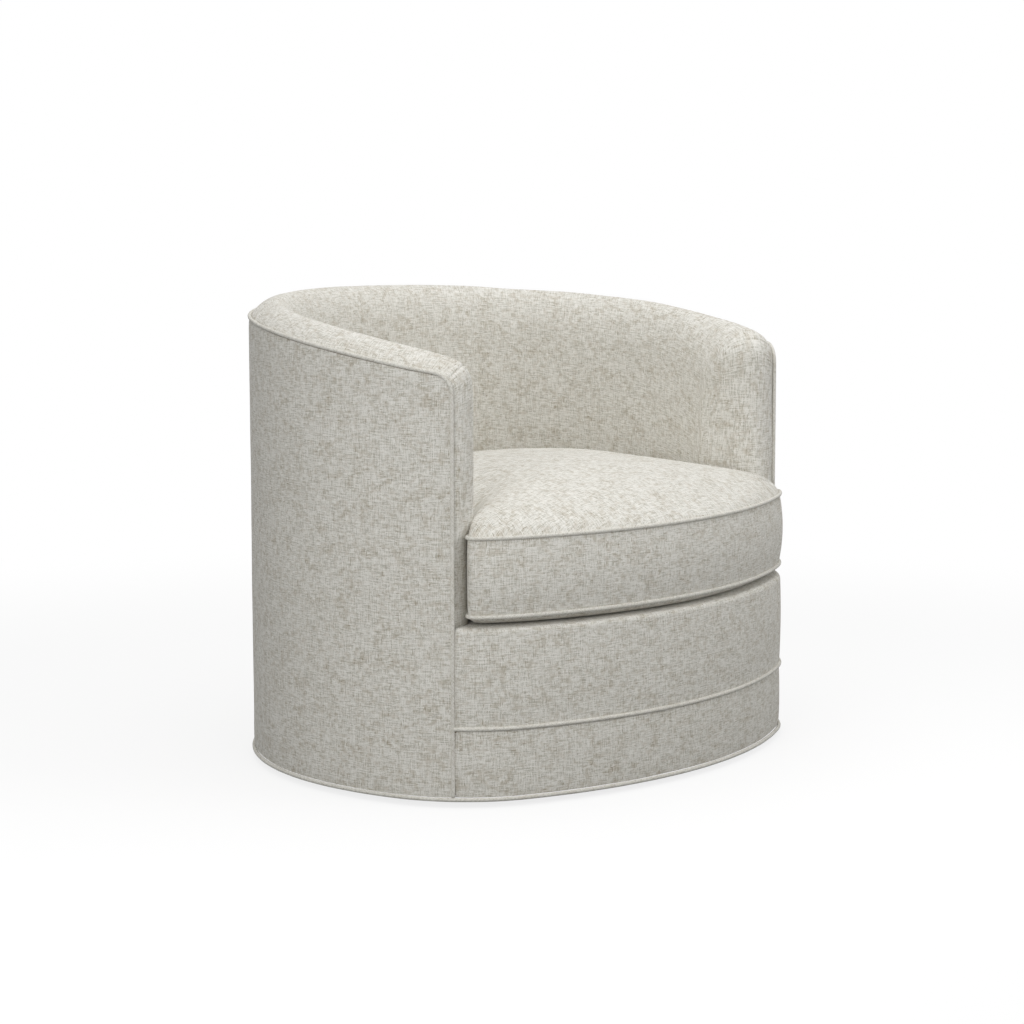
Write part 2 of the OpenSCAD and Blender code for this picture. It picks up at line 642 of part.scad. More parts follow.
// A flat post's outer corners would cut into the curved boards, so its face keeps back by their sagitta
function sagitta(r, width) = r - sqrt(r * r - width * width / 4);
module post(a, width, z0, z1) {
    p = plan_pt(a, frame_in + frame_w / 2 + fit_gap);
    deep = frame_w - 2 * fit_gap - sagitta(arc_radius(a) - frame_in, width + 2 * lap);
    translate([p[0], p[1], z0]) rotate([0, 0, a])
        translate([-frame_w / 2 + fit_gap, -width / 2, 0]) cube([deep, width, z1 - z0]);
}
module mirrored_posts(angles, width, z0, z1) for (a = angles) {
    post(a, width, z0, z1);
    if (abs(a) < 90) mirror([1, 0, 0]) post(a, width, z0, z1);
}
module lower_posts() color("tan") mirrored_posts(lower_angles, post_w, ring_top, seat_z - hair);
module under_rail() intersection() {
    children();
    under_edge(rail_drop + top_rail_h);
}
module back_posts() color("tan") under_rail() mirrored_posts(upper_angles, post_w, seat_top, back_h);
arm_post_angle = arc_deg(rail_drop + post_w / 2, corner_r - frame_in - frame_w / 2) - seam_angle;
module arm_posts() color("tan") under_rail() mirrored_posts([arm_post_angle], post_w, seat_top, back_h);
module top_rail() color("burlywood") {
    difference() {
        intersection() {
            arc_run(barrel_c, barrel_r, -corner_start, 180 + corner_start) band(frame_in, frame_w, deck_h, back_h);
            under_edge(rail_drop);
        }
        under_edge(rail_drop + top_rail_h);
    }
    for (side = [0, 1]) mirror([side, 0, 0]) difference() {
        intersection() {
            arc_run(corner_c, corner_r - hair, arc_deg(rail_drop, corner_r) - seam_angle, -corner_start + lap_angle)
                band(frame_in, frame_w, deck_h, back_h);
            under_edge(rail_drop);
        }
        under_edge(rail_drop + top_rail_h);
    }
}
module corner_blocks() color("tan") for (a = [lower_angles[2], lower_angles[4]]) for (side = [0, 1])
    mirror([side, 0, 0]) {
        p = plan_pt(a, frame_in + frame_w);
        translate([p[0], p[1], seat_z - block_t - hair]) rotate([0, 0, a]) rotate([90, 0, 0])
            linear_extrude(height = block_t, center = true)
                polygon([[0, block_t], [-block_l / 2, block_t], [0, block_t - block_l / 2]]);
    }
module outside_board() color("sienna")
    sloped_band(edge_drop + fit_gap, board_in, board_t, ring_z, edge_drop + fit_gap);
module front_board() color("sienna") front_sweep(seam_trim) band(board_in, board_t, ring_z, seat_top);

// Seat suspension
function front_y(x, inset) = front_c[1] - sqrt(pow(front_r - inset, 2) - x * x);
function back_y(x, inset) = barrel_c[1] + sqrt(pow(barrel_r - inset, 2) - x * x);
spring_bite = ring_w / 6;
spring_xs = [for (i = [0:spring_n - 1]) (i - (spring_n - 1) / 2) * spring_step];
function spring_start(x) = front_y(x, ring_in - spring_bite);
function spring_end(x) = back_y(x, ring_in - spring_bite);
// A spring is a wire of six flats that runs straight across and bends back at each side
module spring(x) {
    start = spring_start(x);
    run = spring_end(x) - start;
    n = round(run / spring_pitch);
    pitch = run / n;
    half = spring_w / 2 - pitch / 2;
    turns = 3;
    sides = 6;
    path = concat(
        [[x - half, start, 90]],
        [for (i = [0:n - 1]) for (j = [0:turns])
            let (side = i % 2 == 0 ? 1 : -1, a = 180 * j / turns)
            [x + side * (half + pitch / 2 * sin(a)), start + (i + 1 / 2) * pitch - pitch / 2 * cos(a),
                180 - side * (90 - a)]],
        [[x + (n % 2 == 0 ? half : -half), start + n * pitch, n % 2 == 0 ? 90 : 270]]
    );
    wire(path, sides);
}
// Each path point is [x, y, direction in plan from which the wire's flats are turned]
module wire(path, sides) {
    n = len(path);
    polyhedron(
        points = [for (p = path) for (k = [0:sides - 1]) let (w = 360 * k / sides)
            [p[0] + wire_d / 2 * cos(w) * cos(p[2]), p[1] + wire_d / 2 * cos(w) * sin(p[2]),
                wire_z + wire_d / 2 * sin(w)]],
        faces = concat(
            [for (i = [0:n - 2]) for (k = [0:sides - 1]) let (m = (k + 1) % sides)
                each quad(i * sides + k, i * sides + sides + k, i * sides + sides + m, i * sides + m)],
            [[for (k = [0:sides - 1]) k]],
            [[for (k = [sides - 1:-1:0]) (n - 1) * sides + k]]
        )
    );
}
module seat_springs() color("gray") for (x = spring_xs) spring(x);
module spring_clips() color("silver") for (x = spring_xs) for (y = [spring_start(x), spring_end(x)])
    translate([x, y, wire_z]) difference() {
        union() {
            rotate([0, 90, 0]) cylinder(r = clip_r, h = clip_l, center = true, $fn = wire_fn * 2);
            translate([-clip_l / 2, -clip_l / 2, -clip_r]) cube([clip_l, clip_l, clip_t]);
        }
        rotate([0, 90, 0]) cylinder(r = clip_r - clip_t, h = clip_l + 2 * over, center = true, $fn = wire_fn * 2);
    }
module edge_roll() color("beige") front_sweep(seam_trim) difference() {
    band(board_in, foam_in - board_in, seat_top + fit_gap, roll_top);
    translate([-board_in, roll_top]) rotate([0, 0, 180]) difference() {
        translate([-over, -over]) square(deck_round - cover_t + over);
        translate([deck_round - cover_t, deck_round - cover_t]) circle(r = deck_round - cover_t);
    }
}
module deck_pad() color("beige") translate([0, 0, pad_z]) linear_extrude(height = pad_top - pad_z)
    plan_2d(foam_in + fit_gap);
module deck_cloth() color("gainsboro") translate([0, 0, pad_top + fit_gap]) linear_extrude(height = cover_t)
    plan_2d(foam_in + fit_gap);

// Back suspension and padding
strap_angles = [-8, 22, 49, 76];
module strap(a) {
    half = arc_deg(strap_w / 2, barrel_r - strap_in);
    arc_run(barrel_c, barrel_r, a - half, a + half) band(strap_in, strap_t, seat_top + fit_gap, back_h);
}
module back_webbing() color("wheat") intersection() {
    for (a = strap_angles) for (side = [0, 1]) mirror([side, 0, 0]) strap(a);
    under_edge(rail_drop + fit_gap);
}
foam_layer = cover_t + fit_gap;
module back_foam() color("ivory") padded_skin(
    under_z, 5, 3, 27, roll_section(foam_layer, 3, 4), seat_section(3, 4), wall_w - foam_layer, foam_in
);

// Covers
module inside_cover() color("linen") padded_skin(
    under_z, 5, 3, 27, roll_section(0, 3, 4), roll_section(cover_t, 3, 4), wall_w, wall_w - cover_t
);
module outside_cover() color("linen") sloped_band(edge_drop, 0, cover_t, hem_z, edge_drop);
module front_panel_cover() color("linen") front_sweep(seam_trim) {
    band(0, cover_t, front_welt_h + welt_clear, deck_h - deck_round);
    translate([-border_w, deck_h - cover_t]) square([border_w - deck_round, cover_t]);
    translate([-deck_round, deck_h - deck_round]) intersection() {
        difference() {
            circle(r = deck_round);
            circle(r = deck_round - cover_t);
        }
        square(deck_round + over);
    }
}
module front_band_cover() color("linen") front_sweep(seam_trim)
    band(0, cover_t, hem_z, front_welt_h - welt_clear);
module edge_welt() color("ivory") edge_tube(
    stations(hem_z, 2, 8, 45), edge_welt_in, edge_welt_h, welt_r, 8
);
module piping(z, d) translate([welt_out, z]) circle(d = d, $fn = wire_fn);
module front_piping(z, trim) {
    arc_run(front_c, front_r, corner_end - 180, -corner_end) piping(z, welt_d);
    corner_runs(-corner_end - lap_angle, -arc_deg(trim, corner_r) - seam_angle, 0) piping(z, welt_d - 2 * hair);
}
module front_welt() color("ivory") front_piping(front_welt_h, seam_trim);
module bottom_welt() color("ivory") {
    arc_run(barrel_c, barrel_r, -corner_start, 90) piping(bottom_welt_z, welt_d);
    arc_run(barrel_c, barrel_r, 90 - lap_angle, 180 + corner_start) piping(bottom_welt_z, welt_d - 4 * hair);
    corner_runs(-corner_end - lap_angle, -corner_start + lap_angle, 0) piping(bottom_welt_z, welt_d - 2 * hair);
    arc_run(front_c, front_r, corner_end - 180, -corner_end) piping(bottom_welt_z, welt_d);
}

// Loose seat cushion
module cushion_core() color("lemonchiffon") cushion_form(cover_t + fit_gap);
module cushion_cover() color("linen") difference() {
    cushion_form(0);
    cushion_form(cover_t);
}
module cushion_top_welt() color("ivory") cushion_piping(high_z);
module cushion_bottom_welt() color("ivory") cushion_piping(low_z);
zip_in = cushion_in - boxing_bulge - fit_gap - cover_t;
zip_z = low_z + boxing_h / 2;
zip_end = 90 + zip_angle / 2;
module cushion_zip() color("gray") arc_run(barrel_c, barrel_r, 180 - zip_end, zip_end)
    band(zip_in, cover_t, zip_z - zip_h / 2, zip_z + zip_h / 2);
module zip_slider() color("silver") arc_run(barrel_c, barrel_r, zip_end, zip_end + arc_deg(zip_h, barrel_r))
    band(zip_in, cover_t, zip_z - zip_h / 4, zip_z + zip_h / 4);

glides();
base_frame();
lower_plate();
base_bolts();
base_nuts();
center_pin();
pin_washer();
pin_nut();
bearing_balls();
ball_cage();
upper_plate();
plate_bolts();
plate_nuts();
mount_rails();
bottom_ring();
dust_cover();
lower_posts();
corner_blocks();
seat_ring();
arm_posts();
back_posts();
top_rail();
outside_board();
front_board();
seat_springs();
spring_clips();
edge_roll();
deck_pad();
deck_cloth();
back_webbing();
back_foam();
inside_cover();
outside_cover();
front_panel_cover();
front_band_cover();
edge_welt();
front_welt();
bottom_welt();
cushion_core();
cushion_cover();
cushion_top_welt();
cushion_bottom_welt();
cushion_zip();
zip_slider();
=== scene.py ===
"""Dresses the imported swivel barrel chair: covers, padding, piping, cushion, frame finishes and stage."""

import json
import math

import bpy
import numpy as np
from bpy.props import FloatProperty, FloatVectorProperty, PointerProperty
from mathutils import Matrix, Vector


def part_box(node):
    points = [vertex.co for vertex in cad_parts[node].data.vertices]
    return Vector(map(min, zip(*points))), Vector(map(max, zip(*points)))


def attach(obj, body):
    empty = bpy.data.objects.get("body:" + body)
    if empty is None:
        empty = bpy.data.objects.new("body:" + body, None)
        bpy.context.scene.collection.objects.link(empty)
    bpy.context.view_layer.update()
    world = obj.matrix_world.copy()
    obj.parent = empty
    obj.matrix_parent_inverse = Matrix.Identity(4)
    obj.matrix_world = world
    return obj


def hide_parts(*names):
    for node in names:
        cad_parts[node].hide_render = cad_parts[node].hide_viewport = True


bl_info = {
    "name": "Swivel barrel chair",
    "version": (1, 0, 0),
    "blender": (4, 5, 0),
    "location": "3D View > Sidebar > Chair",
    "description": "Covers, padding, piping and finishes of a swivel barrel chair",
    "category": "Object",
}

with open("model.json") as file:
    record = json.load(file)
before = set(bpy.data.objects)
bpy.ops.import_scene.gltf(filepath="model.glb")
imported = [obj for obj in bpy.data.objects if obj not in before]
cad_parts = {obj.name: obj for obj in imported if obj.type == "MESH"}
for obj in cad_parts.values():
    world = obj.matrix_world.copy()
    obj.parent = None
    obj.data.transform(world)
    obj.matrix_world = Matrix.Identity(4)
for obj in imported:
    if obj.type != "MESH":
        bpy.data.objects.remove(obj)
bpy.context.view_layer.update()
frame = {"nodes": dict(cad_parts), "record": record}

# Plan of the chair in metres: the barrel, two corners and the front, all tangent arcs
BARREL_R = 0.420
CORNER_R = 0.205
CORNER_START = 14.5
CORNER_END = 64.0
SEAM = 35.0
CORNER_X = (BARREL_R - CORNER_R) * math.cos(math.radians(CORNER_START))
CORNER_Y = -(BARREL_R - CORNER_R) * math.sin(math.radians(CORNER_START))
FRONT_R = (
    BARREL_R * math.cos(math.radians(CORNER_START))
    - CORNER_R * (math.cos(math.radians(CORNER_START)) - math.cos(math.radians(CORNER_END)))
) / math.cos(math.radians(CORNER_END))
FRONT_Y = CORNER_Y - (CORNER_R - FRONT_R) * math.sin(math.radians(CORNER_END))
BARREL_Y = (FRONT_R - FRONT_Y - BARREL_R) / 2

# Heights and layers. The facing, crown and deck edge follow the photo closer than the CAD model does
ARM_H = 0.591
BACK_H = 0.659
EDGE_BOW = 0.010
EDGE_ROUND = 0.024
CROWN_H = 0.024
CROWN_IN = 0.038
FACING_H = 0.026
ROLL_DEEP = 0.060
WALL_HEAD = 0.076
WALL_W = 0.086
FLARE = 0.032
DECK_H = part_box("front_panel_cover")[1].z
HEM_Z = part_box("outside_cover")[0].z
FRONT_WELT_H = sum(corner.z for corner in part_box("front_welt")) / 2
BOTTOM_WELT_H = sum(corner.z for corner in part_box("bottom_welt")) / 2
LOW_SEAM = sum(corner.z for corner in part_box("cushion_bottom_welt")) / 2
HIGH_SEAM = sum(corner.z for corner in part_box("cushion_top_welt")) / 2
CUSHION_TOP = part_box("cushion_cover")[1].z
CUSHION_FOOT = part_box("cushion_cover")[0].z
COVER_T = 0.0015
BORDER_W = 0.100
DECK_ROUND = 0.008
DUST_HOLE = 0.282

# How the covers lie: a little outside the plan's line, and tucked in towards a seam over a short reach
COVER_OUT = 0.0006
SEAM_TUCK = 0.0016
TUCK_REACH = 0.004
PIPING_STEP = 0.004


def srgb(code):
    """Linear colour with alpha from a hex code."""
    parts = [int(code[i : i + 2], 16) / 255 for i in (1, 3, 5)]
    return tuple(p / 12.92 if p <= 0.04045 else ((p + 0.055) / 1.055) ** 2.4 for p in parts) + (1.0,)


class ChairSizes(bpy.types.PropertyGroup):
    """Sizes of the soft pieces that a user would change."""

    piping: FloatProperty(
        name="Piping diameter", description="Thickness of the piping in every seam",
        default=0.0057, min=0.003, max=0.009, unit="LENGTH",
    )
    wall_puff: FloatProperty(
        name="Wall puff", description="How far the padding swells between the roll and the deck",
        default=0.004, min=0.0, max=0.01, unit="LENGTH",
    )
    panel_puff: FloatProperty(
        name="Panel puff", description="How far the front panel swells between its seams",
        default=0.002, min=0.0, max=0.006, unit="LENGTH",
    )
    cushion_puff: FloatProperty(
        name="Cushion swell", description="Furthest that the filling may push the cushion's fabric",
        default=0.007, min=0.0, max=0.02, unit="LENGTH",
    )
    slub_length: FloatProperty(
        name="Slub length", description="Length of the thick stretches in the yarn",
        default=0.015, min=0.005, max=0.06, unit="LENGTH",
    )
    yarn: FloatProperty(
        name="Yarn spacing", description="Spacing of the yarns as drawn, a little coarser than life",
        default=0.0013, min=0.0006, max=0.003, unit="LENGTH",
    )


class ChairColours(bpy.types.PropertyGroup):
    """Colours of the cover fabric."""

    linen: FloatVectorProperty(
        name="Linen", description="Middle colour of the cover fabric", subtype="COLOR", size=4,
        default=srgb("#D7D5CD"), min=0, max=1,
    )
    linen_pale: FloatVectorProperty(
        name="Pale yarn", description="Lightest yarns of the cover fabric", subtype="COLOR", size=4,
        default=srgb("#EAE8E2"), min=0, max=1,
    )
    linen_dark: FloatVectorProperty(
        name="Grey yarn", description="Darkest yarns of the cover fabric", subtype="COLOR", size=4,
        default=srgb("#B3AFA3"), min=0, max=1,
    )
    linen_brown: FloatVectorProperty(
        name="Brown dash", description="Short brown yarn ends in the cover fabric", subtype="COLOR", size=4,
        default=srgb("#93876F"), min=0, max=1,
    )
    linen_tan: FloatVectorProperty(
        name="Tan fleck", description="Tan flecks in the cover fabric", subtype="COLOR", size=4,
        default=srgb("#B1A692"), min=0, max=1,
    )


# Shape of the plan and of the outer edge


def plan_point(angle, inset):
    """Points in plan whose outward normals have these angles in degrees, from -90 right round to 450."""
    angle = np.asarray(angle, float)
    angle = np.where(angle > 270, angle - 360, angle)
    hand = np.where(angle > 90, -1.0, 1.0)
    twin = np.where(angle > 90, 180 - angle, angle)
    on_barrel = twin >= -CORNER_START
    on_corner = ~on_barrel & (twin >= -CORNER_END)
    centre_x = np.where(on_corner, hand * CORNER_X, 0.0)
    centre_y = BARREL_Y + np.where(on_barrel, 0.0, np.where(on_corner, CORNER_Y, FRONT_Y))
    radius = np.where(on_barrel, BARREL_R, np.where(on_corner, CORNER_R, FRONT_R)) - inset
    turn = np.radians(angle)
    return centre_x + radius * np.cos(turn), centre_y + radius * np.sin(turn)


def even_angles(start, stop, step):
    """Angles from start to stop, evenly spaced along the outer face, and the length up to each."""
    fine = np.linspace(start, stop, 4001)
    x, y = plan_point(fine, 0.0)
    length = np.concatenate([[0], np.cumsum(np.hypot(np.diff(x), np.diff(y)))])
    even = np.linspace(0, length[-1], int(round(length[-1] / step)) + 1)
    return np.interp(even, length, fine), even


SEAM_X, SEAM_Y = plan_point(-SEAM, 0.0)
BACK_WAY = np.array([math.sin(math.radians(SEAM)), math.cos(math.radians(SEAM))])
IN_WAY = np.array([-math.cos(math.radians(SEAM)), math.sin(math.radians(SEAM))])
EDGE_DY = BARREL_Y + BARREL_R - SEAM_Y
EDGE_DZ = BACK_H - ARM_H
EDGE_CHORD = math.hypot(EDGE_DY, EDGE_DZ)
EDGE_R = (EDGE_CHORD**2 / 4 + EDGE_BOW**2) / (2 * EDGE_BOW)
EDGE_CY = SEAM_Y + EDGE_DY / 2 + EDGE_DZ / EDGE_CHORD * (EDGE_R - EDGE_BOW)
EDGE_CZ = ARM_H + EDGE_DZ / 2 - EDGE_DY / EDGE_CHORD * (EDGE_R - EDGE_BOW)


def edge_z(y):
    """Height of the outer edge over that y."""
    return EDGE_CZ + np.sqrt(EDGE_R**2 - (y - EDGE_CY) ** 2)


BEND_Z = edge_z(SEAM_Y) - EDGE_ROUND


def behind_seam(t, inset):
    """A point in plan at distance t behind the right arm seam, in front of it where t is negative."""
    if t < 0:
        return np.array([SEAM_X, SEAM_Y]) + t * BACK_WAY + inset * IN_WAY
    return np.array(plan_point(math.degrees(t / CORNER_R) - SEAM, inset))


def behind(angle):
    """Length along the outer face from the nearer arm seam to a plan angle."""
    twin = min(angle, 180 - angle)
    if twin <= -CORNER_START:
        return CORNER_R * math.radians(twin + SEAM)
    return CORNER_R * math.radians(SEAM - CORNER_START) + BARREL_R * math.radians(twin + CORNER_START)


def level_path(angles, z):
    """Points round the outer face at one height, as far out as the covers."""
    return [(*plan_point(angle, -COVER_OUT), z) for angle in angles]


def edge_path(foot, step):
    """Points along the outer edge's seam, up one arm front, round the top and down the other."""
    inset, lift = 0.0006, 0.0013
    x, y = behind_seam(-lift, inset)
    side = [(x, y, z) for z in np.linspace(foot, BEND_Z, int((BEND_Z - foot) / step))]
    for turn in np.radians(np.arange(9, 90, 9)):
        t = EDGE_ROUND - (EDGE_ROUND + lift) * math.cos(turn)
        _, edge_y = behind_seam(max(t, 0.0), 0.0)
        z = edge_z(edge_y) - EDGE_ROUND + (EDGE_ROUND + lift) * math.sin(turn)
        side.append((*behind_seam(t, inset), z))
    start = math.degrees(EDGE_ROUND / CORNER_R) - SEAM
    angles, _ = even_angles(start, 180 - start, step)
    x, y = plan_point(angles, inset)
    _, edge_y = plan_point(angles, 0.0)
    top = list(zip(x, y, edge_z(edge_y) + lift))
    return side + top + [(-x, y, z) for x, y, z in reversed(side)]


def run_along(points):
    """Length along a line of points, up to each of them."""
    return np.concatenate([[0], np.cumsum([math.dist(a, b) for a, b in zip(points, points[1:])])])


# How padding and covers swell, sink and fade


def eased(count):
    """Shares from nought to one, closer together at both ends."""
    return [0.5 - 0.5 * math.cos(math.pi * k / count) for k in range(count + 1)]


def smooth_step(low, high, value):
    """Nought below low, one above high, and a soft step between them."""
    share = min(1.0, max(0.0, (value - low) / (high - low)))
    return share * share * (3 - 2 * share)


def bell(distance, width):
    """One at no distance, fading to nought on both sides."""
    return math.exp(-((distance / width) ** 2))


def tuck(*distances):
    """How far a cover sinks towards the seams that are these distances away."""
    return SEAM_TUCK * sum(math.exp(-distance / TUCK_REACH) for distance in distances)


def pressed(z):
    """One where the cushion presses on the wall and the arm fronts, nought above it."""
    return 1 - smooth_step(HIGH_SEAM - 0.012, HIGH_SEAM + 0.020, z)


def flare(s):
    """Extra padding inside the arms, at distance s behind the seam."""
    return FLARE * bell(s, 0.17)


# Making pieces


def put(name, points, faces, cloth=None):
    """A smooth mesh object from points and faces, with a cloth coordinate in metres for each face corner."""
    mesh = bpy.data.meshes.new(name)
    mesh.from_pydata([tuple(p) for p in points], [], faces)
    if cloth is not None:
        layer = mesh.uv_layers.new(name="cloth")
        layer.data.foreach_set("uv", np.array(cloth, np.float32).ravel())
    mesh.update()
    made = bpy.data.objects.new(name, mesh)
    bpy.context.scene.collection.objects.link(made)
    mesh.shade_smooth()
    return made


def only(obj):
    """Selects one object and makes it active."""
    for other in bpy.context.selected_objects:
        other.select_set(False)
    obj.select_set(True)
    bpy.context.view_layer.objects.active = obj


def finish_modifier(obj, kind, **settings):
    """Adds a modifier to an object and applies it."""
    only(obj)
    made = obj.modifiers.new(kind.title(), kind)
    for name, value in settings.items():
        setattr(made, name, value)
    bpy.ops.object.modifier_apply(modifier=made.name)


def grid(name, columns, close=False):
    """A sheet from columns of (point, cloth coordinate) rows, facing left of the way that the columns go."""
    rows, count = len(columns[0]), len(columns)
    cells = [cell for column in columns for cell in column]
    faces = []
    for i in range(count if close else count - 1):
        j = (i + 1) % count
        for k in range(rows - 1):
            faces.append([i * rows + k, j * rows + k, j * rows + k + 1, i * rows + k + 1])
    cloth = [cells[corner][1] for face in faces for corner in face]
    return put(name, [point for point, _ in cells], faces, cloth)


def point_outwards(obj, join=0.0):
    """Joins a closed mesh's points that lie within the distance join, and turns its faces outwards."""
    only(obj)
    bpy.ops.object.mode_set(mode="EDIT")
    bpy.ops.mesh.select_all(action="SELECT")
    if join:
        bpy.ops.mesh.remove_doubles(threshold=join)
    bpy.ops.mesh.normals_make_consistent(inside=False)
    bpy.ops.object.mode_set(mode="OBJECT")


def uneven(obj, amount, size, name):
    """Moves the surface a little, as hand-stretched fabric over wadding lies."""
    texture = bpy.data.textures.new(name, "CLOUDS")
    texture.noise_scale = size
    texture.noise_depth = 1
    finish_modifier(obj, "DISPLACE", texture=texture, strength=amount, mid_level=0.5, texture_coords="LOCAL")


def tube(name, path, diameter, closed=False):
    """Piping along a path of points, with cloth coordinates along it and round it."""
    sides = 12
    path = np.array(path, float)
    count = len(path)
    ahead = np.roll(path, -1, 0) - np.roll(path, 1, 0) if closed else np.gradient(path, axis=0)
    ahead /= np.linalg.norm(ahead, axis=1)[:, None]
    across = np.cross(ahead[0], [0.3, 0.5, 0.8])
    across /= np.linalg.norm(across)
    rings, runs = [], []
    for i in range(count):
        across = across - ahead[i] * np.dot(across, ahead[i])
        across /= np.linalg.norm(across)
        up = np.cross(ahead[i], across)
        run = runs[-1] + np.linalg.norm(path[i] - path[i - 1]) if i else 0.0
        radius = diameter / 2 * (1 + 0.012 * math.sin(run * 97) + 0.010 * math.sin(run * 41 + 1))
        turns = [2 * math.pi * k / sides for k in range(sides)]
        rings.append([path[i] + radius * (across * math.cos(w) + up * math.sin(w)) for w in turns])
        runs.append(run)
    twist = 0
    if closed:
        # The last ring turns on to meet the first, by the twist that has built up round the loop
        twist = int(np.argmin([np.linalg.norm(np.roll(rings[0], -s, 0) - rings[-1]) for s in range(sides)]))
    faces, cloth = [], []
    for i in range(count if closed else count - 1):
        j = (i + 1) % count
        turn = 0 if j else twist
        for k in range(sides):
            this, after = (k + turn) % sides, (k + 1 + turn) % sides
            faces.append([i * sides + k, i * sides + (k + 1) % sides, j * sides + after, j * sides + this])
            for on, side in ((0, k), (0, k + 1), (1, k + 1), (1, k)):
                cloth.append((runs[i] + on * runs[1], diameter * math.pi * side / sides))
    if not closed:
        faces.append(list(range(sides)))
        faces.append([(count - 1) * sides + k for k in reversed(range(sides))])
        cloth += [(0.0, 0.001 * k) for k in range(2 * sides)]
    made = put(name, [point for ring in rings for point in ring], faces, cloth)
    point_outwards(made)
    return made


def dress(obj, body, slot, material, *nodes):
    """Gives a finished piece its body, material and the CAD nodes that it stands for; the slot argument is
    not used.
    """
    obj.data.materials.clear()
    obj.data.materials.append(material)
    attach(obj, body)
    if nodes:
        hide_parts(*nodes)
    return obj


# Materials


def add(tree, kind, inputs=None, stops=None, **settings):
    """Adds a node with its settings, its input values or links, and the stops of a colour ramp."""
    made = tree.nodes.new(kind)
    for name, value in settings.items():
        setattr(made, name, value)
    for name, value in (inputs or {}).items():
        if isinstance(value, bpy.types.Node):
            value = value.outputs[0]
        if isinstance(value, bpy.types.NodeSocket):
            tree.links.new(value, made.inputs[name])
        else:
            made.inputs[name].default_value = value
    for i, (place, colour) in enumerate(stops or []):
        element = made.color_ramp.elements[i] if i < 2 else made.color_ramp.elements.new(place)
        element.position = place
        element.color = colour
    return made


def weighted_sum(tree, base, *parts):
    """The base plus each pattern times its weight."""
    for pattern, weight in parts:
        base = add(tree, "ShaderNodeMath", {0: pattern, 1: weight, 2: base}, operation="MULTIPLY_ADD")
    return base


def highest(tree, first, *others):
    """The highest of several values."""
    for other in others:
        first = add(tree, "ShaderNodeMath", {0: first, 1: other}, operation="MAXIMUM")
    return first


def new_material(name):
    """An empty node material and its tree."""
    made = bpy.data.materials.new(name)
    made.use_nodes = True
    made.node_tree.nodes.clear()
    return made, made.node_tree


def linen_weave(name, turn=0.0, shift=0.0, lift=0.0, contrast=1.0):
    """Slubbed linen-look upholstery weave: ivory and grey yarns of uneven thickness with tan flecks."""
    # The eye sees short pale and dark dashes both ways, cloudy patches of tan, and a dry matt surface.
    sizes = bpy.context.scene.chair_sizes
    colours = bpy.context.scene.chair_colours
    made, tree = new_material(name)
    cloth = add(tree, "ShaderNodeUVMap", uv_map="cloth")
    placed = add(
        tree, "ShaderNodeMapping",
        {"Vector": cloth, "Rotation": (0, 0, math.radians(turn)), "Location": (shift, shift * 0.7, 0)},
    )

    def threads(across, along, seed, detail=2.0):
        """Noise drawn out into threads of this thickness and length."""
        scaled = {"Vector": placed, "Scale": (1 / along, 1 / across, 1), "Location": (seed, seed, 0)}
        drawn = add(tree, "ShaderNodeMapping", scaled)
        noise = {"Vector": drawn, "Scale": 1.0, "Detail": detail, "Roughness": 0.6}
        return add(tree, "ShaderNodeTexNoise", noise, noise_dimensions="2D")

    def laid_over(below, pattern, low, high, most, colour):
        """The colours below, with another over them where the pattern rises from low to high."""
        rise = {"Value": pattern, "From Min": low, "From Max": high, "To Max": most * contrast}
        share = add(tree, "ShaderNodeMapRange", rise)
        return add(tree, "ShaderNodeMix", {0: share, 6: below, 7: tuple(colour)}, data_type="RGBA").outputs[2]

    thick, thin = sizes.yarn * 1.3, sizes.yarn * 1.25
    weft = threads(thick, sizes.slub_length, 3.0)
    warp = threads(sizes.slub_length * 0.85, thick, 17.0)
    grain = threads(sizes.yarn * 0.85, sizes.yarn * 1.1, 31.0, 3.0)
    bars = threads(thin, 0.055, 43.0, 1.0)
    posts = threads(0.060, thin, 57.0, 1.0)
    clouds = threads(0.045, 0.060, 71.0, 3.0)
    # Every pattern lies round 0.5, so a sum starts low and its weights bring it back up
    tone = weighted_sum(tree, -1.79, (weft, 1.10), (warp, 0.92), (grain, 1.00), (bars, 0.34), (posts, 0.34))
    tone = weighted_sum(tree, 0.44 + lift, (tone, contrast), (clouds, 0.12))
    ramp = [(0.20, colours.linen_dark), (0.82, colours.linen_pale), (0.50, colours.linen)]
    body = add(tree, "ShaderNodeValToRGB", {"Fac": tone}, stops=ramp)
    # Pale streaks, tan spots that gather in patches, and short brown yarn ends
    posts = weighted_sum(tree, -0.03, (threads(0.024, 0.0016, 139.0), 1.0))
    streaks = highest(tree, threads(0.0016, 0.026, 131.0), posts)
    body = laid_over(body, streaks, low=0.63, high=0.74, most=0.60, colour=colours.linen_pale)
    patches = threads(0.026, 0.034, 103.0, 3.0)
    spots = weighted_sum(tree, threads(0.0075, 0.0100, 83.0), (patches, 0.55))
    body = laid_over(body, spots, low=0.74, high=1.04, most=0.42, colour=colours.linen_tan)
    dashes = highest(tree, threads(0.0014, 0.0120, 97.0, 1.0), threads(0.0130, 0.0014, 113.0, 1.0))
    dashes = weighted_sum(tree, dashes, (patches, 0.25))
    body = laid_over(body, dashes, low=0.84, high=0.89, most=0.75, colour=colours.linen_brown)
    height = weighted_sum(tree, weft, (warp, 1.0), (grain, 0.5))
    bump = add(tree, "ShaderNodeBump", {"Height": height, "Strength": 0.40 * contrast, "Distance": 0.0006})
    shader = add(
        tree, "ShaderNodeBsdfPrincipled",
        {
            "Base Color": body, "Roughness": 0.92, "IOR": 1.45, "Normal": bump,
            "Specular IOR Level": 0.25, "Sheen Weight": 0.12, "Sheen Roughness": 0.5,
        },
    )
    add(tree, "ShaderNodeOutputMaterial", {"Surface": shader})
    return made


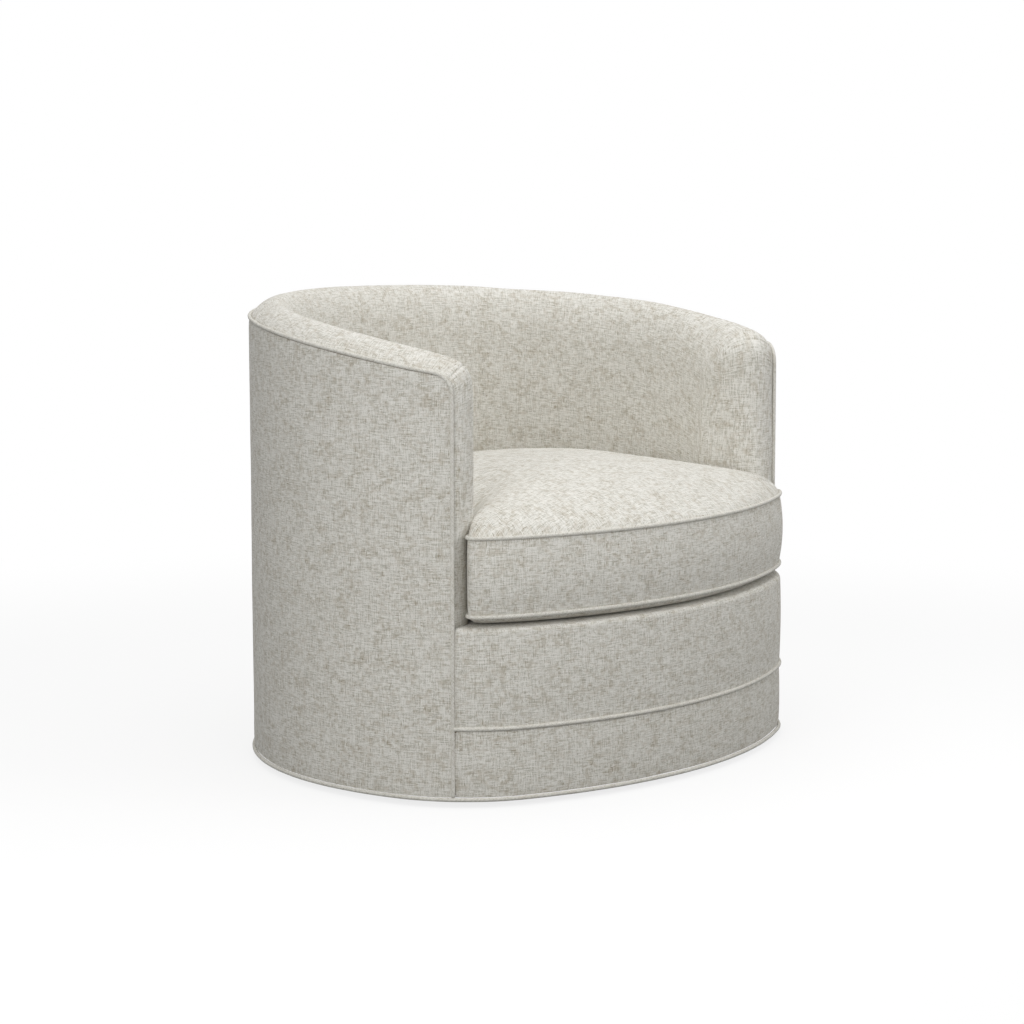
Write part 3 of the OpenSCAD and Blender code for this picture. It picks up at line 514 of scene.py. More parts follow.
def fabric(name, **settings):
    """The cover fabric, made once for each way it is cut."""
    return bpy.data.materials.get(name) or linen_weave(name, **settings)


def bias_cut():
    """The cover fabric cut aslant for piping, with its pattern pulled flat and its tone lowered a little as
    painted shade, against the light that the round piping catches.
    """
    return fabric("linen_piping_painted_shade", turn=45, shift=5.1, lift=-0.02, contrast=0.5)


# Operators, one for each piece or group of like pieces


class CHAIR_OT_outer_cover(bpy.types.Operator):
    """Stretches the outer fabric round the barrel, from arm seam to arm seam."""

    bl_idname = "chair.outer_cover"
    bl_label = "Outer cover"

    def execute(self, context):
        bend = np.radians(range(0, 91, 6))
        rounding = [math.degrees(EDGE_ROUND * (1 - math.cos(w)) / CORNER_R) - SEAM for w in bend]
        start = rounding.pop()
        angles, _ = even_angles(start, 180 - start, step=0.008)
        angles = rounding + list(angles) + [180 - a for a in reversed(rounding)]
        gap = 0.0022
        columns = []
        runs = run_along([plan_point(angle, 0.0) for angle in angles])
        for angle, run in zip(angles, runs):
            _, y = plan_point(angle, 0.0)
            t = behind(angle)
            drop = EDGE_ROUND - math.sqrt(max(0.0, EDGE_ROUND**2 - max(0.0, EDGE_ROUND - t) ** 2))
            top = edge_z(y) - drop - gap
            column = []
            for share in eased(64):
                z = HEM_Z + (top - HEM_Z) * share
                inset = tuck(t + 0.0005, z - HEM_Z, top - z) - COVER_OUT
                column.append(((*plan_point(angle, inset), z), (run, z)))
            columns.append(column)
        cover = grid("outer_cover", columns)
        uneven(cover, amount=0.0022, size=0.14, name="outer_stretch")
        finish_modifier(cover, "SOLIDIFY", thickness=COVER_T, offset=-1.0)
        dress(cover, "chair", "cover_fabric", fabric("linen_weave"), "outside_cover")
        return {"FINISHED"}


class CHAIR_OT_padded_wall(bpy.types.Operator):
    """Makes the padded skin over the roll, the arm fronts and the inside of the barrel."""

    bl_idname = "chair.padded_wall"
    bl_label = "Padded wall"

    def execute(self, context):
        self.puff = context.scene.chair_sizes.wall_puff
        self.head = edge_z(SEAM_Y) - ROLL_DEEP
        self.section = self.roll_section(outer=22, inner=30)
        self.rows = int(round((self.head - CUSHION_FOOT) / 0.007)) + 1
        half = [*range(0, 37, 4), 39, 41.5, 43, 43.9, 44.5]
        turns = half + [45] + [90 - w for w in reversed(half)]
        start = math.degrees(ROLL_DEEP / CORNER_R) - SEAM
        angles, lengths = even_angles(start, 180 - start, step=0.0075)
        up = [("upright", z, 1) for z in np.linspace(CUSHION_FOOT, self.head, self.rows)]
        bend = [("bend", w, 1) for w in turns[1:-1]]
        top = [("top", a, 0) for a in angles]
        down = [(kind, value, -1) for kind, value, _ in reversed(up + bend)]
        self.stations = up + bend + top + down
        self.first = len(up) + len(bend)
        self.runs = {i: length for i, length in enumerate(lengths, self.first)}
        wall = self.build(len(bend), len(top))
        uneven(wall, amount=0.0030, size=0.11, name="wall_stretch")
        finish_modifier(wall, "SOLIDIFY", thickness=0.003, offset=-1.0)
        linen = fabric("linen_weave_inside", shift=2.3)
        dress(wall, "chair", "cover_fabric", linen, "inside_cover", "back_foam")
        return {"FINISHED"}

    def roll_section(self, outer, inner):
        """The roll in section as (inset, height): a flat outer curve and a deep inner one."""
        roll_in, power = 0.0034, 1.33
        out = []
        for w in np.arange(outer) * math.pi / 2 / outer:
            inset = CROWN_IN - (CROWN_IN - roll_in) * math.cos(w) ** power
            out.append((inset, CROWN_H * math.sin(w) ** power))
        for w in np.arange(inner) * math.pi / 2 / (inner - 1):
            inset = CROWN_IN + (WALL_HEAD - CROWN_IN) * math.sin(w)
            out.append((inset, (CROWN_H + ROLL_DEEP) * math.cos(w) - ROLL_DEEP))
        return out

    def wall_inset(self, z, s, share):
        """Thickness of the padded wall at a height and at a distance behind the seam."""
        return WALL_W + (WALL_HEAD - WALL_W) * share + flare(s) * (1 - 0.5 * pressed(z))

    def reach(self, turn):
        """Distance from the bend's centre to the outer edge with its rounded corner."""
        c, s = math.cos(turn), math.sin(turn)
        flat = ROLL_DEEP - EDGE_ROUND
        if ROLL_DEEP * s < flat * c:
            return ROLL_DEEP / c
        if ROLL_DEEP * c < flat * s:
            return ROLL_DEEP / s
        return flat * (c + s) + math.sqrt(max(0.0, (flat * (c + s)) ** 2 - 2 * flat**2 + EDGE_ROUND**2))

    def spot(self, station, inset, h):
        """A point of the roll's section at a station."""
        kind, value, side = station
        if kind == "top":
            # The photo's crown lies a little lower round the far back corner
            dip = 0.003 * bell(value - 42, 16) * max(h, 0.0) / CROWN_H
            if inset > CROWN_IN:
                inset += flare(behind(value)) * (inset - CROWN_IN) / (WALL_HEAD - CROWN_IN)
            _, edge_y = plan_point(value, 0.0)
            return (*plan_point(value, inset), edge_z(edge_y) + h - dip)
        z = value if kind == "upright" else self.head
        share = (z - CUSHION_FOOT) / (self.head - CUSHION_FOOT)
        if inset > CROWN_IN:
            widest = self.wall_inset(z, ROLL_DEEP, share)
            inset = CROWN_IN + (inset - CROWN_IN) * (widest - CROWN_IN) / (WALL_HEAD - CROWN_IN)
        front = FACING_H / CROWN_H
        if kind == "upright":
            x, y = behind_seam(-(h * front * (1 - 0.34 * pressed(z)) if h > 0 else h), inset)
            return side * x, y, value
        turn = math.radians(value)
        far = self.reach(turn)
        if h <= 0:
            far *= 1 + h / ROLL_DEEP
        else:
            square = 0.08 if side < 0 else 0.24
            far += h * (front + (1 - front) * math.sin(turn) ** 2) * (1 + square * math.sin(2 * turn) ** 2)
        # The mitre dart: a narrow groove between two low lips, fading out where the wall begins
        dart = 0.0004 * bell(abs(value - 45) - 3.0, 1.6) - 0.0015 * bell(value - 45, 0.7)
        far += dart * (1 - smooth_step(0.052, 0.074, inset))
        t = ROLL_DEEP - far * math.cos(turn)
        x, y = behind_seam(t, inset)
        _, edge_y = behind_seam(max(t, 0.0), 0.0)
        return side * x, y, edge_z(edge_y) - ROLL_DEEP + far * math.sin(turn)

    def build(self, bends, columns):
        """The strip over the roll and down the arm fronts, and the face inside it, as one sheet."""
        last = len(self.section) - 1
        widths = run_along(self.section)
        first, rows = self.first, self.rows
        end = first + columns - 1
        rise = self.head - CUSHION_FOOT
        whole = 2 * rise + 4 * ROLL_DEEP + self.runs[end]
        points, ids, cloth_at = [], {}, {}

        def strip_key(i, k):
            if k == last and rows - 1 <= i < first:
                return ("strip", first, k)
            if k == last and end < i <= end + bends + 1:
                return ("strip", end, k)
            return ("strip", i, k)

        def along(i, k):
            kind, value, side = self.stations[i]
            if kind == "top":
                return rise + 2 * ROLL_DEEP + self.runs[i]
            if kind == "upright":
                run = value - CUSHION_FOOT
            else:
                far = self.reach(math.radians(value)) * (1 + min(self.section[k][1], 0.0) / ROLL_DEEP)
                turn = math.radians(value)
                run = rise + (far * math.sin(turn) if value < 45 else 2 * ROLL_DEEP - far * math.cos(turn))
            return run if side > 0 else whole - run

        def index(key, spot):
            if key not in ids:
                ids[key] = len(points)
                points.append(spot)

        for i in range(len(self.stations)):
            for k, (inset, h) in enumerate(self.section):
                key = strip_key(i, k)
                index(key, self.spot(self.stations[key[1]], inset, h))
                cloth_at[(i, k)] = (along(i, k), widths[k])
        faces, cloth = [], []

        def face(keys, corners):
            kept = [n for n in range(len(keys)) if keys[n] != keys[n - 1]]
            faces.append([ids[keys[n]] for n in kept])
            cloth.extend(corners[n] for n in kept)

        for i in range(len(self.stations) - 1):
            for k in range(last):
                cells = [(i, k), (i + 1, k), (i + 1, k + 1), (i, k + 1)]
                face([strip_key(*c) for c in cells], [cloth_at[c] for c in cells])

        def face_key(c, j):
            if j == rows - 1:
                return strip_key(first + c, last)
            if c == 0:
                return strip_key(j, last)
            if c == columns - 1:
                return strip_key(len(self.stations) - 1 - j, last)
            return ("face", c, j)

        for c in range(columns):
            angle = self.stations[first + c][1]
            _, edge_y = plan_point(angle, 0.0)
            head = edge_z(edge_y) - ROLL_DEEP
            side = math.sin(math.pi / 2 * min(1.0, 8 * min(c, columns - 1 - c) / columns))
            for j in range(rows):
                share = j / (rows - 1)
                z = CUSHION_FOOT + (head - CUSHION_FOOT) * share
                swell = self.puff * math.sin(math.pi * share) * side
                inset = self.wall_inset(z, behind(angle), share) + swell
                index(face_key(c, j), (*plan_point(angle, inset), z))
                cloth_at[("face", c, j)] = (along(first + c, last), widths[-1] + head - z + 0.4)
        for c in range(columns - 1):
            for j in range(rows - 1):
                cells = [(c, j), (c, j + 1), (c + 1, j + 1), (c + 1, j)]
                face([face_key(*q) for q in cells], [cloth_at[("face", *q)] for q in cells])
        return put("padded_wall", points, faces, cloth)


class CHAIR_OT_piping(bpy.types.Operator):
    """Sews the piping into the outer edge, the front seam and the foot."""

    bl_idname = "chair.piping"
    bl_label = "Piping"

    def execute(self, context):
        thick = context.scene.chair_sizes.piping
        clear = 0.4
        across, _ = even_angles(180 + SEAM + clear, 360 - SEAM - clear, PIPING_STEP)
        around, _ = even_angles(-90, 270, PIPING_STEP)
        edge = tube("edge_piping", edge_path(HEM_Z, PIPING_STEP), thick)
        front = tube("front_piping", level_path(across, FRONT_WELT_H), thick)
        foot = tube("foot_piping", level_path(around[:-1], BOTTOM_WELT_H), thick, closed=True)
        for piece, node in ((edge, "edge_welt"), (front, "front_welt"), (foot, "bottom_welt")):
            dress(piece, "chair", "welt_fabric", bias_cut(), node)
        return {"FINISHED"}


class CHAIR_OT_front(bpy.types.Operator):
    """Stretches the front panel, with its rolled deck edge, and the band under the front seam."""

    bl_idname = "chair.front"
    bl_label = "Front panel and band"

    def execute(self, context):
        puff = context.scene.chair_sizes.panel_puff
        trim = math.degrees(0.0042 / CORNER_R)
        self.angles, self.lengths = even_angles(180 + SEAM + trim, 360 - SEAM - trim, step=0.007)
        low, high = FRONT_WELT_H + 0.0023, DECK_H - DECK_ROUND
        section = [(0.0, low + (high - low) * share) for share in eased(24)]
        for w in np.radians(range(9, 91, 9)):
            section.append((DECK_ROUND * (1 - math.cos(w)), high + DECK_ROUND * math.sin(w)))
        section += [(DECK_ROUND + (BORDER_W - DECK_ROUND) * k / 12, DECK_H) for k in range(1, 13)]
        self.panel(
            "front_panel", "front_panel_cover", section, ends=(low, high), puff=puff,
            sinks=(0.25, 0.0), shift=3.9,
        )
        low, high = HEM_Z, FRONT_WELT_H - 0.0030
        section = [(0.0, low + (high - low) * share) for share in eased(20)]
        self.panel(
            "front_band", "front_band_cover", section, ends=(low, high), puff=puff * 0.4,
            sinks=(1.0, 1.0), shift=4.4,
        )
        return {"FINISHED"}

    def panel(self, name, node, section, ends, puff, sinks, shift):
        """Fabric from arm to arm, swollen between its ends, which sink by these shares of a tuck."""
        low, high = ends
        foot, head = sinks
        widths = run_along(section)
        columns = []
        for angle, run in zip(self.angles, self.lengths):
            end = min(run, self.lengths[-1] - run)
            column = []
            for (inset, z), width in zip(section, widths):
                share = min(1.0, max(0.0, (z - low) / (high - low)))
                sink = tuck(end) + foot * tuck(z - low) + head * tuck(high - z)
                swell = puff * math.sin(math.pi * min(1.0, share * 0.94 + 0.06))
                column.append(((*plan_point(angle, inset + sink - swell), z), (run, width)))
            columns.append(column)
        made = grid(name, columns)
        uneven(made, amount=0.0018, size=0.12, name=name + "_stretch")
        finish_modifier(made, "SOLIDIFY", thickness=COVER_T, offset=-1.0)
        dress(made, "chair", "cover_fabric", fabric("linen_" + name, shift=shift), node)


class CHAIR_OT_deck(bpy.types.Operator):
    """Lays the plain decking cloth that the cushion rests on."""

    bl_idname = "chair.deck"
    bl_label = "Deck cloth"

    def execute(self, context):
        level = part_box("deck_cloth")[1].z
        columns = []
        wall_in = 0.0435
        for x, y in zip(*plan_point(np.linspace(-90, 270, 181)[:-1], wall_in)):
            column = []
            for share in np.linspace(1.0, 0.02, 24):
                spot = (x * share, BARREL_Y + (y - BARREL_Y) * share)
                column.append(((*spot, level), spot))
            columns.append(column)
        deck = grid("deck_cloth_cover", columns, close=True)
        self.close_middle(deck)
        point_outwards(deck)
        if deck.data.polygons[0].normal.z < 0:
            deck.data.flip_normals()
        uneven(deck, amount=0.0006, size=0.05, name="deck_stretch")
        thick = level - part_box("deck_pad")[0].z
        finish_modifier(deck, "SOLIDIFY", thickness=thick, offset=-1.0)
        # The decking cloth is the cover fabric made plain and darker; its darker tone is painted shade that
        # deepens the gap under the cushion
        dress(
            deck, "chair", "deck_fabric", fabric("decking_cloth_painted_shade", shift=7.7, lift=-0.12, contrast=0.4),
            "deck_cloth", "deck_pad",
        )
        return {"FINISHED"}

    def close_middle(self, deck):
        """Fills the small hole that the rings of faces leave in the middle."""
        only(deck)
        bpy.ops.object.mode_set(mode="EDIT")
        bpy.ops.mesh.select_all(action="DESELECT")
        bpy.ops.mesh.select_mode(type="EDGE")
        bpy.ops.mesh.select_non_manifold()
        bpy.ops.object.mode_set(mode="OBJECT")
        far = [math.hypot(v.co.x, v.co.y - BARREL_Y) > 0.1 for v in deck.data.vertices]
        for vertex, is_far in zip(deck.data.vertices, far):
            vertex.select = vertex.select and not is_far
        for edge in deck.data.edges:
            edge.select = edge.select and not far[edge.vertices[0]]
        bpy.ops.object.mode_set(mode="EDIT")
        bpy.ops.mesh.fill()
        bpy.ops.object.mode_set(mode="OBJECT")


# Seat cushion: its gap and bulge at the sides, its ears in front of the arms, its nose, and its flat middle
SIDE_GAP = 0.004
BOXING_BULGE = 0.006
EAR_T = 0.0200
EAR_ANGLE = -math.degrees((EAR_T + 0.014) / CORNER_R) - SEAM
CUSHION_IN = WALL_W + SIDE_GAP + BOXING_BULGE
NOSE_INSET = 0.007
EAR_INSET = 0.0005
CUSHION_C = np.array([0.0, BARREL_Y])
CUSHION_OVAL = (BARREL_R - CUSHION_IN) * np.array([0.93, 0.80])


def cushion_notch(side, grow):
    """Points of the cushion's outline where it steps in behind one ear, from the ear back to the arm."""
    neck = CUSHION_IN + 0.5 * FLARE - grow
    ear = -EAR_T + min(grow, 0.001)
    spots = [(ear - 0.006, 0.0055 - grow), (ear, 0.013), (ear, 0.045), (ear, 0.072)]
    spots += [(-EAR_T * 0.6 + grow, neck - 0.010), (EDGE_ROUND / 3, neck)]
    return [(side * x, y) for x, y in (behind_seam(*spot) for spot in spots)]


def cushion_outline(grow):
    """The cushion's seams in plan, grown outwards, as evenly spaced points, and their length."""
    rough = []
    for angle in np.linspace(-26, 206, 100):
        rough.append(plan_point(angle, CUSHION_IN + 0.5 * flare(behind(angle)) - grow))
    rough += reversed(cushion_notch(-1, grow))
    for angle in np.linspace(180 - EAR_ANGLE, 360 + EAR_ANGLE, 70):
        depth = EAR_INSET + (NOSE_INSET - EAR_INSET) * (1 - ((angle - 270) / (90 + EAR_ANGLE)) ** 2)
        rough.append(plan_point(angle, depth - grow))
    line = np.array(rough + cushion_notch(1, grow))
    for _ in range(2):
        after = np.roll(line, -1, 0)
        line = np.stack([0.75 * line + 0.25 * after, 0.25 * line + 0.75 * after], 1).reshape(-1, 2)
    around = np.vstack([line, line[:1]])
    length = np.concatenate([[0], np.cumsum(np.hypot(*np.diff(around, axis=0).T))])
    even = np.linspace(0, length[-1], 361)[:-1]
    return np.stack([np.interp(even, length, side) for side in around.T], 1), length[-1]


class CHAIR_OT_seat_cushion(bpy.types.Operator):
    """Fills the loose seat cushion: a crowned top, bulging boxing, and piping in both seams."""

    bl_idname = "chair.seat_cushion"
    bl_label = "Seat cushion"

    def execute(self, context):
        seam, whole = cushion_outline(grow=0.0)
        cushion = self.shape(seam)
        point_outwards(cushion)
        finish_modifier(cushion, "REMESH", mode="VOXEL", voxel_size=0.006, use_smooth_shade=True)
        self.fill(cushion, context.scene.chair_sizes.cushion_puff)
        finish_modifier(cushion, "SUBSURF", levels=1, render_levels=1)
        self.lay_cloth(cushion, seam, whole)
        dress(
            cushion, "seat_cushion", "cover_fabric", fabric("linen_cushion", shift=9.2, lift=0.02),
            "cushion_cover", "cushion_core",
        )
        thick = context.scene.chair_sizes.piping
        around, _ = cushion_outline(grow=0.0015)
        for name, z, node in (
            ("cushion_top_piping", HIGH_SEAM, "cushion_top_welt"),
            ("cushion_foot_piping", LOW_SEAM, "cushion_bottom_welt"),
        ):
            made = tube(name, [(x, y, z) for x, y in around], thick, closed=True)
            dress(made, "seat_cushion", "welt_fabric", bias_cut(), node)
        self.zip_tape()
        return {"FINISHED"}

    def shape(self, seam):
        """The cushion before its fabric swells, as rings from the middle of its foot to that of its top."""
        levels = [(share, 0.0, CUSHION_FOOT) for share in (0.02, *np.linspace(0.15, 0.90, 8))]
        for turn in np.radians((72, 54, 38, 24, 12, 0)):
            z = LOW_SEAM - (LOW_SEAM - CUSHION_FOOT) * math.sin(turn)
            levels.append((1 - 0.085 * (1 - math.cos(turn)), 0.0, z))
        steps = 14
        for k in range(1, steps):
            bulge = BOXING_BULGE * math.sin(math.pi * k / steps) ** 0.8
            levels.append((1.0, bulge, LOW_SEAM + (HIGH_SEAM - LOW_SEAM) * k / steps))
        levels.append((1.0, 0.0, HIGH_SEAM))
        crown = (0.985, 0.965, 0.94, 0.91, 0.87, 0.82, 0.76, 0.69, 0.61, 0.52, 0.42, 0.32, 0.22, 0.12, 0.02)
        levels += [(share, 0.0, None) for share in crown]
        points = []
        for share, grow, z in levels:
            reach = (cushion_outline(grow)[0] if grow else seam) - CUSHION_C
            unit = reach / np.linalg.norm(reach, axis=1)[:, None]
            oval = unit / np.linalg.norm(unit / CUSHION_OVAL, axis=1)[:, None]
            mix = share**3
            for x, y in CUSHION_C + share * (mix * reach + (1 - mix) * oval):
                points.append((x, y, self.crown_z(x, y, share) if z is None else z))
        count, last = len(seam), len(levels) - 1
        faces = []
        for start in range(0, last * count, count):
            for k in range(count):
                after = (k + 1) % count
                faces.append([start + k, start + after, start + count + after, start + count + k])
        faces += [list(reversed(range(count))), [last * count + k for k in range(count)]]
        return put("seat_cushion", points, faces)

    def crown_z(self, x, y, share):
        """Height of the crowned top at a share of the way out to the seam, fuller towards the front ears."""
        out = math.hypot(x / CUSHION_OVAL[0], (y - CUSHION_C[1]) / CUSHION_OVAL[1])
        ear = smooth_step(0.90, 1.30, out) * (y < BARREL_Y)
        full = (1 - share**2.6) ** (0.62 - 0.22 * ear) * (1 - 0.10 * ear)
        return HIGH_SEAM + (CUSHION_TOP - HIGH_SEAM) * full

    def zip_tape(self):
        """The zip across the back of the boxing: two tapes and a nylon coil between them."""
        low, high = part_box("cushion_zip")
        inset = BARREL_R - (high.y - BARREL_Y)
        radius = BARREL_R - inset
        half = math.asin(high.x / radius)
        middle, tape = (low.z + high.z) / 2, (high.z - low.z) / 2
        tooth = 0.0016
        columns = []
        for run in np.arange(0, 2 * half * radius, 0.0004):
            angle = 90 + math.degrees(run / radius - half)
            column = []
            for z in (-tape, -tape * 0.6, -0.0020, -0.0014, 0.0, 0.0014, 0.0020, tape * 0.6, tape):
                coil = (0.0011 + 0.0003 * math.sin(run * 2 * math.pi / tooth)) * (abs(z) < 0.0018)
                column.append(((*plan_point(angle, inset + 0.0008 - coil), middle + z), (run, z)))
            columns.append(column)
        made = grid("zip_tapes", columns)
        finish_modifier(made, "SOLIDIFY", thickness=0.0010, offset=-1.0)
        dress(made, "seat_cushion", "zip_tape", plain_finish("zip_tape"), "cushion_zip")

    def fill(self, cushion, reach):
        """Swells the fabric with the cloth solver, seams held and no point moved further than reach."""
        rest = np.array([v.co for v in cushion.data.vertices])
        held = cushion.vertex_groups.new(name="held")
        for vertex in cushion.data.vertices:
            near = min(abs(vertex.co.z - LOW_SEAM), abs(vertex.co.z - HIGH_SEAM))
            if near < 0.006 and self.off_seam(vertex.co) < 0.010 or vertex.co.z < CUSHION_FOOT + 0.002:
                held.add([vertex.index], 1.0, "REPLACE")
        only(cushion)
        cloth = cushion.modifiers.new("Cloth", "CLOTH")
        cloth.settings.vertex_group_mass = "held"
        cloth.settings.use_pressure = True
        cloth.settings.uniform_pressure_force = 4.0
        cloth.settings.effector_weights.gravity = 0.0
        cloth.settings.quality = 4
        cloth.settings.tension_stiffness = 20
        cloth.settings.bending_stiffness = 2
        frames = 20
        cloth.point_cache.frame_start = 1
        cloth.point_cache.frame_end = frames
        scene = bpy.context.scene
        for step in range(1, frames + 1):
            scene.frame_set(step)
        bpy.ops.object.modifier_apply(modifier=cloth.name)
        scene.frame_set(1)
        for vertex, start in zip(cushion.data.vertices, rest):
            move = np.array(vertex.co) - start
            size = np.linalg.norm(move)
            against = vertex.normal.y > 0.15 and abs(vertex.normal.z) < 0.8
            most = reach * 0.15 if against else reach
            if size > most:
                vertex.co = start + move * most / size
            vertex.co.z = max(vertex.co.z, CUSHION_FOOT)
        cushion.vertex_groups.clear()

    def off_seam(self, spot):
        """Distance in plan from the seam's line."""
        if not hasattr(self, "line"):
            self.line = cushion_outline(0.0)[0]
        return float(np.min(np.hypot(self.line[:, 0] - spot.x, self.line[:, 1] - spot.y)))

    def lay_cloth(self, cushion, seam, whole):
        """Gives the top and foot flat cloth coordinates, and the boxing coordinates round the seam."""
        mesh = cushion.data
        turn = np.unwrap(np.arctan2(seam[:, 1] - CUSHION_C[1], seam[:, 0]))
        length = np.linspace(0, whole, len(seam) + 1)[:-1]
        order = np.argsort(turn)
        turn, length = turn[order], length[order]
        layer = mesh.uv_layers.new(name="cloth")
        co = np.zeros(len(mesh.vertices) * 3)
        mesh.vertices.foreach_get("co", co)
        co = co.reshape(-1, 3)
        loops = np.zeros(len(mesh.loops), int)
        mesh.loops.foreach_get("vertex_index", loops)
        cloth = np.zeros((len(loops), 2))
        for face in mesh.polygons:
            z = face.center.z
            on_side = LOW_SEAM < z < HIGH_SEAM and abs(face.normal.z) < 0.75
            for at in range(face.loop_start, face.loop_start + face.loop_total):
                x, y, height = co[loops[at]]
                if on_side:
                    way = math.atan2(y - CUSHION_C[1], x)
                    while way < turn[0]:
                        way += 2 * math.pi
                    while way > turn[0] + 2 * math.pi:
                        way -= 2 * math.pi
                    cloth[at] = (np.interp(way, turn, length), height)
                else:
                    cloth[at] = (x, y)
        layer.data.foreach_set("uv", cloth.astype(np.float32).ravel())


# Cloth and straps inside, and the finishes of the frame


class CHAIR_OT_inner_cloth(bpy.types.Operator):
    """Makes the dust cover, the roll under the deck's front edge and the straps behind the padding."""

    bl_idname = "chair.inner_cloth"
    bl_label = "Dust cover, edge roll and straps"

    def execute(self, context):
        self.dust_cover()
        roll = self.joined_copy("edge_roll", "edge_roll_wadding")
        finish_modifier(roll, "REMESH", mode="VOXEL", voxel_size=0.004, use_smooth_shade=True)
        finish_modifier(roll, "SMOOTH", factor=0.5, iterations=3)
        uneven(roll, amount=0.0012, size=0.03, name="roll_wadding")
        dress(roll, "chair", "foam", plain_finish("foam"), "edge_roll")
        straps = self.joined_copy("back_webbing", "back_straps")
        finish_modifier(straps, "BEVEL", width=0.0004, segments=1)
        dress(straps, "chair", "webbing", plain_finish("webbing"), "back_webbing")
        return {"FINISHED"}

    def joined_copy(self, node, name):
        """A copy of a soft CAD solid, with its loose triangles joined."""
        mesh = frame["nodes"][node].data.copy()
        mesh.name = name
        made = bpy.data.objects.new(name, mesh)
        bpy.context.scene.collection.objects.link(made)
        point_outwards(made, join=0.00001)
        return made

    def dust_cover(self):
        """The black cloth under the seat, stapled to the bottom ring and sagging a little inside it."""
        low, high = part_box("dust_cover")
        x, y = plan_point(np.linspace(-90, 270, 241)[:-1], BARREL_R - high.x)
        rim = np.stack([x, y - BARREL_Y], 1)
        hole = DUST_HOLE * rim / np.linalg.norm(rim, axis=1)[:, None] - [0.0, BARREL_Y]
        columns = []
        for out, inner in zip(rim, hole):
            column = []
            for share in np.linspace(0, 1, 13):
                u, v = out + (inner - out) * share
                z = high.z - 0.0022 * math.sin(math.pi * share) ** 2
                column.append(((u, v + BARREL_Y, z), (u, v)))
            columns.append(column)
        cloth = grid("dust_cover_cloth", columns, close=True)
        finish_modifier(cloth, "SOLIDIFY", thickness=high.z - low.z, offset=-1.0)
        point_outwards(cloth)
        dress(cloth, "chair", "dust_fabric", plain_finish("dust_fabric"), "dust_cover")


# Each finish: dark and pale colour, grain in metres, one size or three, depth of relief, and shader values
FINISHES = {
    # Moulded polyethylene glides: near black, with the fine grit of the mould
    "glide_plastic": ("#171717", "#242424", 0.0008, 0.00008, {"Roughness": 0.5, "IOR": 1.5}),
    # Powder-coated steel tube: a satin black skin with a soft orange peel
    "black_steel": ("#161617", "#212122", 0.0025, 0.00012, {"Roughness": 0.38, "IOR": 1.5}),
    # Zinc-plated pressed steel: cloudy blue-grey metal, duller in patches
    "zinc_steel": ("#A3A7AA", "#C6C9CA", 0.012, 0.00004, {"Roughness": 0.34, "Metallic": 1.0}),
    # Ground and polished bearing steel: bright, with faint lapping marks
    "ball_steel": (
        "#C9CBCD", "#DEE0E1", (0.0004, 0.0040, 0.0004), 0.00001, {"Roughness": 0.12, "Metallic": 1.0},
    ),
    # Moulded natural nylon: cream, waxy and faintly clouded
    "cage_nylon": ("#D3CAB2", "#E4DDC9", 0.006, 0.00005, {"Roughness": 0.42, "IOR": 1.53}),
    # Oiled and drawn spring wire: dark bluish brown with lengthwise streaks
    "spring_steel": (
        "#4A4643", "#6B6661", (0.012, 0.0012, 0.0012), 0.00005, {"Roughness": 0.36, "Metallic": 1.0},
    ),
    # Birch plywood: pale face veneer, with the plies showing as bands at every cut edge
    "plywood": (
        "#B48E5F", "#D9BC8E", (0.060, 0.003, 0.050), 0.00010, {"Roughness": 0.62, "IOR": 1.5, "ply": 0.0045},
    ),
    # Planed beech: pinkish tan with long fine grain and short darker flecks
    "hardwood": ("#AE8158", "#CFA77A", (0.003, 0.003, 0.070), 0.00012, {"Roughness": 0.58, "IOR": 1.5}),
    # Hard-pressed fibreboard: brown, matt, matted with fine fibres
    "fibreboard": ("#63482F", "#86664A", (0.0030, 0.0030, 0.0012), 0.00006, {"Roughness": 0.75, "IOR": 1.5}),
    # Cut polyurethane foam: cream, with open cells drawn at about twice their real size so that they show
    "foam": ("#C9BD95", "#EDE4C5", 0.0016, 0.00060, {"Roughness": 0.95, "IOR": 1.45}),
    # Woven elastic webbing: cream rubber and cotton with a rib across every 3 mm
    "webbing": (
        "#9C8B6B", "#D5C9AE", (0.0020, 0.0020, 0.0008), 0.00050,
        {"Roughness": 0.85, "IOR": 1.45, "ply": 0.0030},
    ),
    # Spun-bonded black dust cloth: matt black, felted, with pale fibre ends
    "dust_fabric": ("#1B1B1C", "#343435", 0.0012, 0.00030, {"Roughness": 0.95, "IOR": 1.45}),
    # Woven polyester zip tape: warm grey with a fine rib
    "zip_tape": ("#8E897F", "#B4AFA4", (0.0015, 0.0015, 0.0006), 0.00020, {"Roughness": 0.7, "IOR": 1.5}),
    # Nickel-plated zip slider: bright warm metal, worn cloudy by handling
    "zip_metal": ("#A9A49B", "#CBC7BE", 0.002, 0.00003, {"Roughness": 0.25, "Metallic": 1.0}),
}


